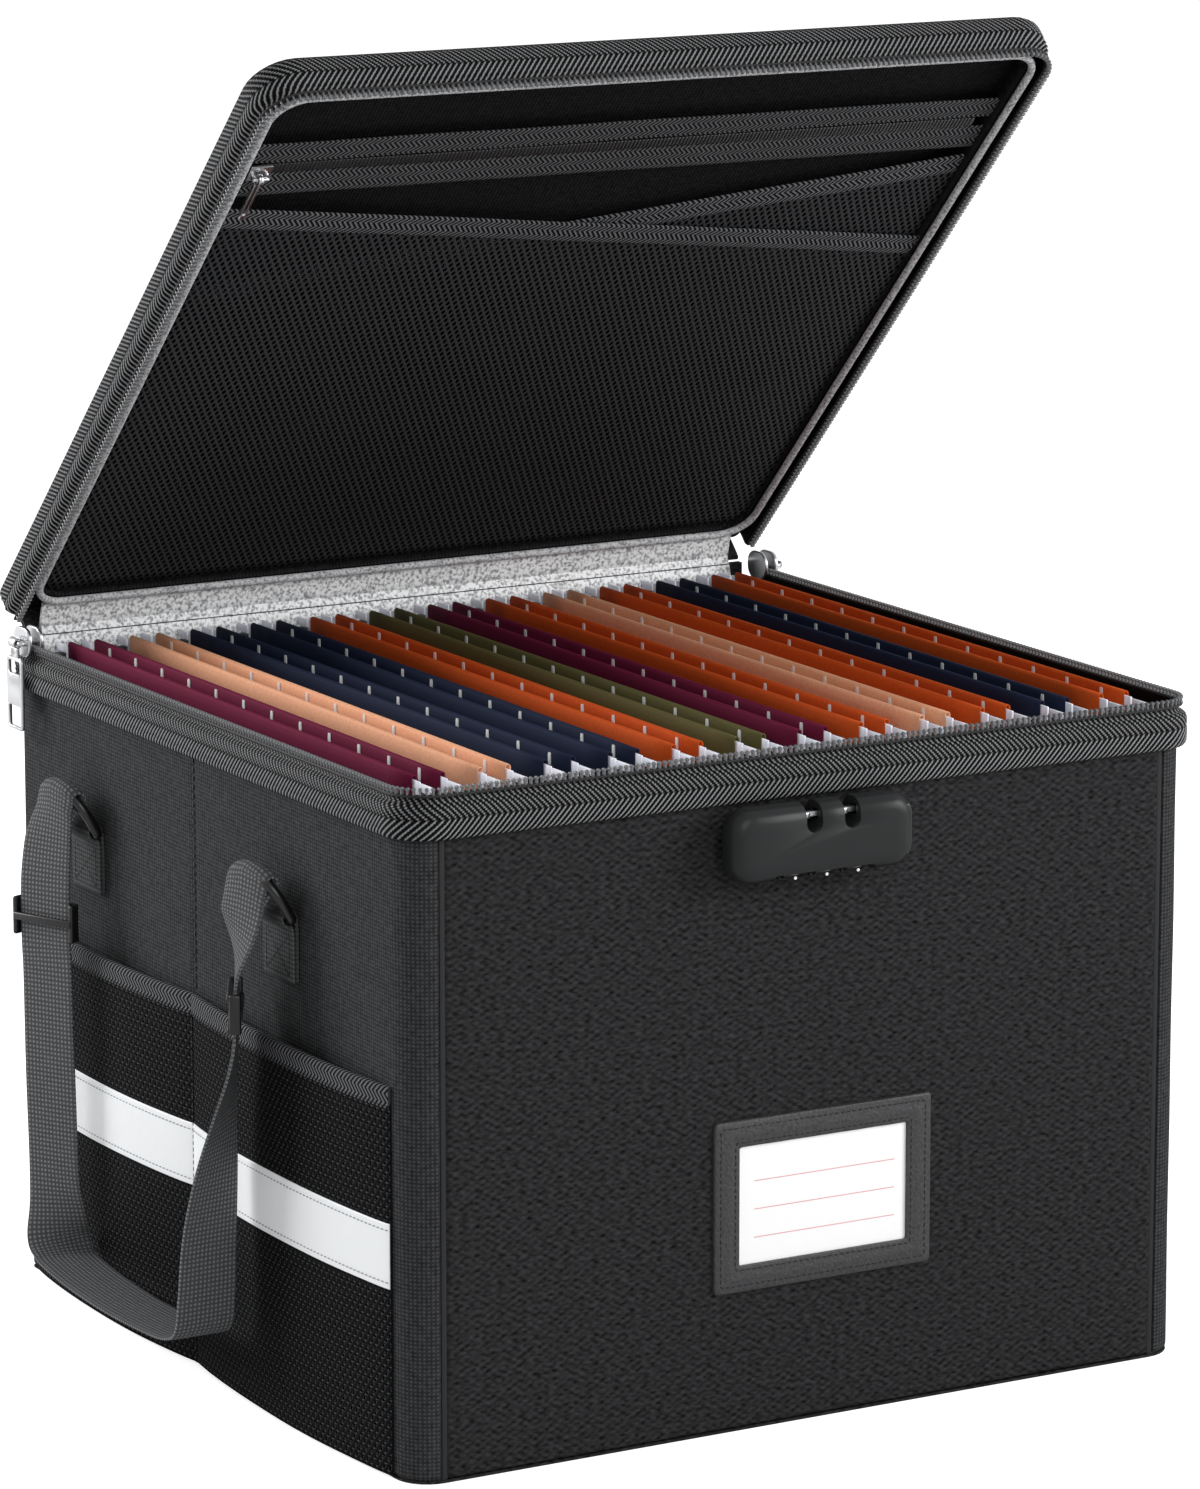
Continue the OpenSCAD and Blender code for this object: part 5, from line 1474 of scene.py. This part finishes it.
def pocket_skin(name, side, off, low, high, thick, step, ripple=0.35):
    """A bowed cloth between two heights, with slightly rounded edges and a soft unevenness that
    fades out at the seams."""
    plan = pocket_plan(side, off)
    y = plan[:, 1]
    zs = edge_steps(low, high, min(1.0, (high - low) / 6), step)
    fade = np.clip(np.minimum(np.abs(y - FOLD_Y), 152 - np.abs(y)) / 25, 0, 1)[:, None]
    offset = (ripple * waves(running(plan)[:, None], zs * 0.6, 60, 40) * fade
              - rounded_drop(zs, low, high, min(0.8, thick * 0.8)))
    return outward(wall(name, plan, zs, offset, thick, out=pocket_out(side, plan)))


for side, word in SIDES:
    mesh_bag = pocket_skin(word + "_pocket_mesh", side, 1.0, 1.3, 143, 0.6, 5.0)
    place(mesh_bag, "box", side_mesh, word + "_pocket")
    backing = pocket_skin(word + "_pocket_backing", side, 0.25, 1.3, 142, 0.2, 9.0)
    place(backing, "box", lining_cloth, slot="mesh_cloth")
print("side pockets done")

# %% Bindings and reflective strips
bindings, strips = [], []
for side, _ in SIDES:
    bindings.append(pocket_skin("binding", side, 1.7, 141.5, 150, 2.0, 1.5))
    strips.append(pocket_skin("strip", side, 1.5, 73, 98, 0.55, 3.0, ripple=0.4))
place(joined("pocket_mouth_bindings", bindings), "box", pocket_edge_cloth, "pocket_bindings")
place(joined("reflective_bands", strips), "box", reflective_film, "reflective_strips")
for side, word in SIDES:
    plan = pocket_plan(side, 1.65)
    out3 = lift(pocket_out(side, plan), 0.0)
    for z, label in ((75.5, "low"), (95.5, "high")):
        stitches("%s_strip_stitches_%s" % (word, label), lift(plan, z), out3, grey_thread, "box",
                 length=1.6)
    x = side * (WIDE / 2 + 1.6)
    stitches(word + "_pocket_fold_stitches", line((x, FOLD_Y, 3), (x, FOLD_Y, 149), 4),
             (side, 0, 0), black_thread, "box")
    top = pocket_plan(side, 1.75)
    stitches(word + "_binding_stitches", lift(top, 142.6), lift(pocket_out(side, top), 0.0),
             black_thread, "box", pitch=2.4, length=1.6)

# %% [markdown]
# ## Ring tabs and D rings
# Four webbing tabs are folded round the straight bar of a steel D ring, painted black, and sewn to
# the side wall with a stitched square and cross. The tab is one strip carried along its fold; the
# ring is a round wire carried along its outline, leaning out from the wall.

# %% Tabs
RING_YS, RING_Z, BAR_X = (101.0, -67.0), 198.0, 174.9
RING_LEAN = math.radians(30)
WEBBING_W, WEBBING_T = 25.0, 1.35
RING_HALF, RING_TOP, RING_R, RING_WIRE = 14.0, 20.0, 13.0, 4.0


def tab_line():
    """Side view of a tab, x out from the middle and z: up the wall, round the bar, down again."""
    round_bar = arc(BAR_X, RING_Z, 2.85, 150, -105, 22)
    return chain(line((171.85, 173.6), (171.9, 196.0), 2), smooth_path(
        [(171.9, 196.0), (172.1, 198.2), round_bar[0]], 5), round_bar,
        smooth_path([round_bar[-1], (173.6, 193.5), (173.35, 190.0)], 5),
        line((173.35, 190.0), (173.3, 173.2), 2))


def tab(side, y):
    """Webbing strip along the tab's side view, 25 mm wide and narrower round the bar."""
    flat = tab_line()
    path = np.stack([side * flat[:, 0], np.full(len(flat), y), flat[:, 1]], -1)
    near = np.clip(1 - np.abs(flat[:, 1] - 199) / 6, 0, 1)
    size = np.stack([WEBBING_W - 1.6 * near, np.full_like(near, WEBBING_T)], -1)
    return outward(sweep("tab", path, (0, 1, 0), pill(1, 1, 0.35, 20) * size[:, None]))


tabs = [tab(side, y) for side in (-1, 1) for y in RING_YS]
place(joined("ring_tab_webbing", tabs), "box", tab_cloth, "ring_tabs")
for side, word in SIDES:
    for y, spot in zip(RING_YS, ("rear", "front")):
        a, b, c, d = ((side * 174.05, y + dy, z) for dy, z in (
            (-9.5, 175.5), (9.5, 175.5), (9.5, 191.5), (-9.5, 191.5)))
        for k, ends in enumerate(((a, b), (b, c), (c, d), (d, a), (a, c), (b, d))):
            stitches("%s_%s_tab_stitches_%d" % (word, spot, k), line(*ends, 2), (side, 0, 0),
                     black_thread, "box", pitch=2.3, length=1.6, width=0.5)


# %% D rings
def d_line():
    """Ring's outline from above its hinge bar: straight bar, legs and a crown that is nearly a
    half circle of radius 13, as (y, height) with small rounded feet."""
    half, top, r, foot = RING_HALF, RING_TOP, RING_R, 1.2
    return chain(arc(half - foot, foot, foot, 270, 360, 5), arc(half - r, top - r, r, 0, 90, 16),
                 arc(-half + r, top - r, r, 90, 180, 16),
                 arc(-half + foot, foot, foot, 180, 270, 5),
                 line((-half + foot + 1, 0), (half - foot - 1, 0), 3))


def d_ring(side, y):
    """The outline leans out by 30 degrees about the bar, and a round wire runs along it."""
    flat = d_line()
    x = side * (BAR_X + flat[:, 1] * math.sin(RING_LEAN))
    path = np.stack([x, y + flat[:, 0], RING_Z + flat[:, 1] * math.cos(RING_LEAN)], -1)
    across = np.array([side * math.cos(RING_LEAN), 0, -math.sin(RING_LEAN)])
    return outward(sweep("ring", path, across, pill(RING_WIRE, RING_WIRE, 1.0, 16), wrap=True))


black_steel = moulded("black_powder_coated_steel", "#101012", 0.3)
for side, word in SIDES:
    rings = joined(word + "_d_rings", [d_ring(side, y) for y in RING_YS])
    place(rings, word + "_ring_pair", black_steel, word + "_rings")
print("tabs and rings done")

# %% [markdown]
# ## Handles
# Each handle is one length of webbing. It is doubled over both rings, passes a three-bar glide at
# either end and hangs in a long loop beside the wall, twisting as it goes. The strap is a flat
# section carried along its centre line; its width turns from along the wall at the rings to
# square to the wall at the foot of the loop, and near a ring it cups over the ring's shoulders.

# %% Handle centre line
CROWN_X = BAR_X + RING_TOP * math.sin(RING_LEAN)
CROWN_Z = RING_Z + RING_TOP * math.cos(RING_LEAN)
WRAP_R = 3.35
HANDLE_X = CROWN_X + WRAP_R
# Offset from the handle's line, place along the wall, height, turn in degrees, width
FREE_RUN = [(0.3, 101, 209, 11, 22.5), (1, 101, 203, 15, 24), (2, 101, 194, 21, 24.5),
            (3.4, 100.5, 182, 23, 25), (4, 100, 172, 24, 25), (4, 100, 154, 24, 25),
            (4, 99, 140, 24, 25), (4, 98, 100, 25, 25), (3.5, 97, 60, 26, 25), (3, 96, 44, 38, 25),
            (3.5, 94, 34, 64, 25), (4, 88, 28.5, 86, 25), (5, 78, 27, 90, 25),
            (6, 55, 25.5, 90, 25),
            (7, 20, 25, 90, 25), (7, -15, 26, 90, 25), (7, -34, 28, 90, 25), (7, -43, 33, 91, 25),
            (7, -46, 46, 93, 25), (6.5, -48, 70, 99, 25), (5, -51, 95, 113, 25),
            (3, -55, 120, 133, 25), (1.6, -59, 138, 146, 25), (1, -61.5, 152, 151, 25),
            (1, -62.5, 172, 152, 25), (1, -63.5, 181, 158, 25), (1, -65, 190, 174, 24.5),
            (1.2, -66.5, 199, 190, 24), (0.5, -67, 209, 194, 22.5)]


def over_crown(y, turn, twist):
    """Webbing over a ring: the sewn tail inside, then half a circle round the ring's crown, in
    which the strap twists a little."""
    tail = [(HANDLE_X - 1.75, y, CROWN_Z - 15, turn, 22),
            (HANDLE_X - 2.3, y, CROWN_Z - 10, turn, 22),
            (CROWN_X - WRAP_R + 1.6, y, CROWN_Z - 4, turn, 22)]
    return tail + [(CROWN_X - WRAP_R * math.cos(a), y, CROWN_Z + WRAP_R * math.sin(a),
                    turn + twist * a / math.pi, 23) for a in np.radians(np.arange(0, 181, 20))]


free = smooth_path([(HANDLE_X + x, y, z, turn, wide) for x, y, z, turn, wide in FREE_RUN], 6)
handle_line = np.concatenate([over_crown(RING_YS[0], 0, 10), free,
                              over_crown(RING_YS[1], 180, 14)[::-1]])


def strap_mesh(name, side):
    """Section carried along the line; near each ring the strap's edges drop along the ring by
    as much as its round crown does at that distance from the middle."""
    path = handle_line[:, :3] * [side, 1, 1]
    turn = np.radians(handle_line[:, 3])
    across = np.stack([side * np.sin(turn), np.cos(turn), 0 * turn], -1)
    size = np.stack([handle_line[:, 4], np.full(len(path), 1.5)], -1)
    strap = outward(sweep(name, path, across, pill(1, 1, 0.3, 28) * size[:, None], smooth=50))
    co = numbers(strap.data.vertices, "co") / MM
    down = np.array([-side * math.sin(RING_LEAN), 0, -math.cos(RING_LEAN)])
    for y in RING_YS:
        far = np.clip(np.abs(co[:, 1] - y) - 1, 0, 11)
        sag = RING_R - np.sqrt(RING_R ** 2 - far ** 2)
        fade = np.clip((co[:, 2] - (CROWN_Z - 22)) / 22, 0, 1) * (np.abs(co[:, 1] - y) < 20)
        co += (0.9 * sag * fade ** 1.5)[:, None] * down
    strap.data.vertices.foreach_set("co", (co * MM).ravel())
    strap.data.update()
    return strap


for side, word in SIDES:
    place(strap_mesh(word + "_handle_webbing", side), word + "_handle", webbing_cloth,
          word + "_strap")
print("handle webbing", round(running(handle_line[:, :3])[-1]), "mm long")


# %% Three-bar glides
def glide(side, at, turn):
    """Moulded frame: two rounded side rails, two end bars in front of the strap and a middle bar
    behind it, turned with the strap's width."""
    parts = [solid_box("rail", (2.2, 4.6, 15.4), (s * 14.5, 0, 0), 0.9, 3) for s in (-1, 1)]
    parts += [solid_box("end", (30, 2.0, 2.6), (0, -2.2, z), 0.8, 3) for z in (-6.4, 6.4)]
    parts.append(solid_box("middle", (30, 1.7, 3.2), (0, 2.0, 0), 0.7, 3))
    made = joined("glide", parts)
    turned = Matrix.Rotation(math.radians(90 + turn), 4, "Z")
    made.data.transform(Matrix.Translation(Vector(at) * MM) @ turned)
    return mirrored(made) if side > 0 else made


for side, word in SIDES:
    pair = [glide(side, (-HANDLE_X - 4, 100, 163), 24),
            glide(side, (-HANDLE_X - 1, -62, 163), 152)]
    place(joined(word + "_three_bar_glides", pair), word + "_handle", hard_plastic,
          word + "_glides")

# %% [markdown]
# ## Zip sliders and pulls
# A nickel-plated slider stands at each rear corner with the zip fully open. Its two rounded plates
# lie on either face of the chain with a wedge between them, and a stirrup outside holds the long
# framed pull.

# %% Sliders
SLIDE_Y, PULL_X = 155.0, 178.15


def plate_on_side(name, x0, x1, z, length, height, radius):
    """A rounded plate that faces sideways: rounded rectangles stacked in x, drawn in at both
    faces for a soft edge of 0.45 mm."""
    loops = []
    for x, inset in ((x0, 0.45), (x0 + 0.18, 0.135), (x0 + 0.45, 0), (x1 - 0.45, 0),
                     (x1 - 0.18, 0.135), (x1, 0.45)):
        w, h, r = length / 2 - inset, height / 2 - inset, radius - inset
        loop = rounded_loop(-w, w, -h, h, (r, r), 7)
        loops.append(np.stack([np.full(28, x), SLIDE_Y + loop[:, 0], z + loop[:, 1]], -1))
    return stack(name, loops)


def slider(side):
    """Outer and inner plate, wedge, and the stirrup that carries the pull."""
    stirrup = smooth_path([(174.9, -5.2, 0), (176.8, -5.2, 0), (178.0, -4.4, 0),
                           (178.2, -2.5, 0), (178.2, 2.5, 0), (178.0, 4.4, 0),
                           (176.8, 5.2, 0), (174.9, 5.2, 0)], 5) + [0, SLIDE_Y, RIM]
    parts = [plate_on_side("outer", 173.8, 175.5, RIM, 15, 12, 5.2),
             plate_on_side("inner", 168.9, 170.5, RIM, 15, 12, 5.2),
             solid_box("wedge", (4.6, 5.0, 0.9), (172.1, SLIDE_Y - 0.5, RIM), 0.2, 1),
             outward(sweep("stirrup", stirrup, (0, 0, 1), pill(1.9, 1.9, 1.0, 12)))]
    made = joined("slider", parts)
    return mirrored(made) if side < 0 else made


def pull(side):
    """Pull: a flat rounded plate with two windows cut through and a barrel eye on the stirrup."""
    x = PULL_X
    body = plate_on_side("plate", x - 0.75, x + 0.75, 243.2, 14, 29.6, 2.2)
    cut(body, [solid_box("window", (6, 10.6, 5.2), (x, SLIDE_Y, 253.9), 0.8),
               solid_box("window", (6, 10.6, 8.4), (x, SLIDE_Y, 234.0), 0.8)])
    modifier(body, "BEVEL", width=0.25 * MM, segments=2, limit_method="ANGLE",
             angle_limit=math.radians(50))
    applied(body)
    neck = plate_on_side("neck", x - 0.7, x + 0.7, 259.6, 6, 5.2, 0.8)
    t = np.linspace(0, 2 * np.pi, 30, endpoint=False)
    eye = np.stack([x + 1.8 * np.cos(t), np.full(30, SLIDE_Y), RIM + 1.8 * np.sin(t)], -1)
    barrel = outward(sweep("eye", eye, (0, 1, 0), pill(6.0, 0.9, 0.4, 16), wrap=True))
    made = joined("pull", [body, neck, barrel])
    made.data.set_sharp_from_angle(angle=math.radians(40))
    return mirrored(made) if side < 0 else made


for side, word in SIDES:
    made = slider(side)
    made.name = word + "_rim_slider"
    place(made, word + "_zip_slider", bright_metal, word + "_slider")
    made = pull(side)
    made.name = word + "_rim_pull"
    place(made, word + "_zip_pull", bright_metal, word + "_pull")
print("sliders and pulls done")

# %% [markdown]
# ## Cloth hinge
# At the back the two bands stop and the doubled cloth of the rear wall runs on into the lid. It is
# a thin strip of cloth that follows the box at one end and the open lid at the other, drawn with a
# bend in between; it rides on neither, so it keeps that shape.

# %% Hinge fold
FOLD_HALF = 0.7
fold_shut = np.array([(164.2, 249.0), (164.25, 256.0), (164.7, 261.0)])
fold_open = on_lid(np.array([(0, 165.6, 0.9), (0, 165.2, 1.8), (0, 162.6, 3.0)]))[:, 1:]
fold_path = smooth_path(np.concatenate([fold_shut, fold_open]), 6)
turn_out = np.stack([-along(fold_path)[:, 1], along(fold_path)[:, 0]], -1)
closed = np.concatenate([fold_path + turn_out * FOLD_HALF,
                         (fold_path - turn_out * FOLD_HALF)[::-1]])
fold_grid = spread(np.linspace(-161.4, 161.4, 60), closed)
hinge_fold = outward(skin("hinge_fold_cloth", fold_grid, wrap_v=True, caps=True))
place(hinge_fold, None, hinge_cloth, slot="hinge_cloth")
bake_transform(hinge_fold)
print("hinge fold done")
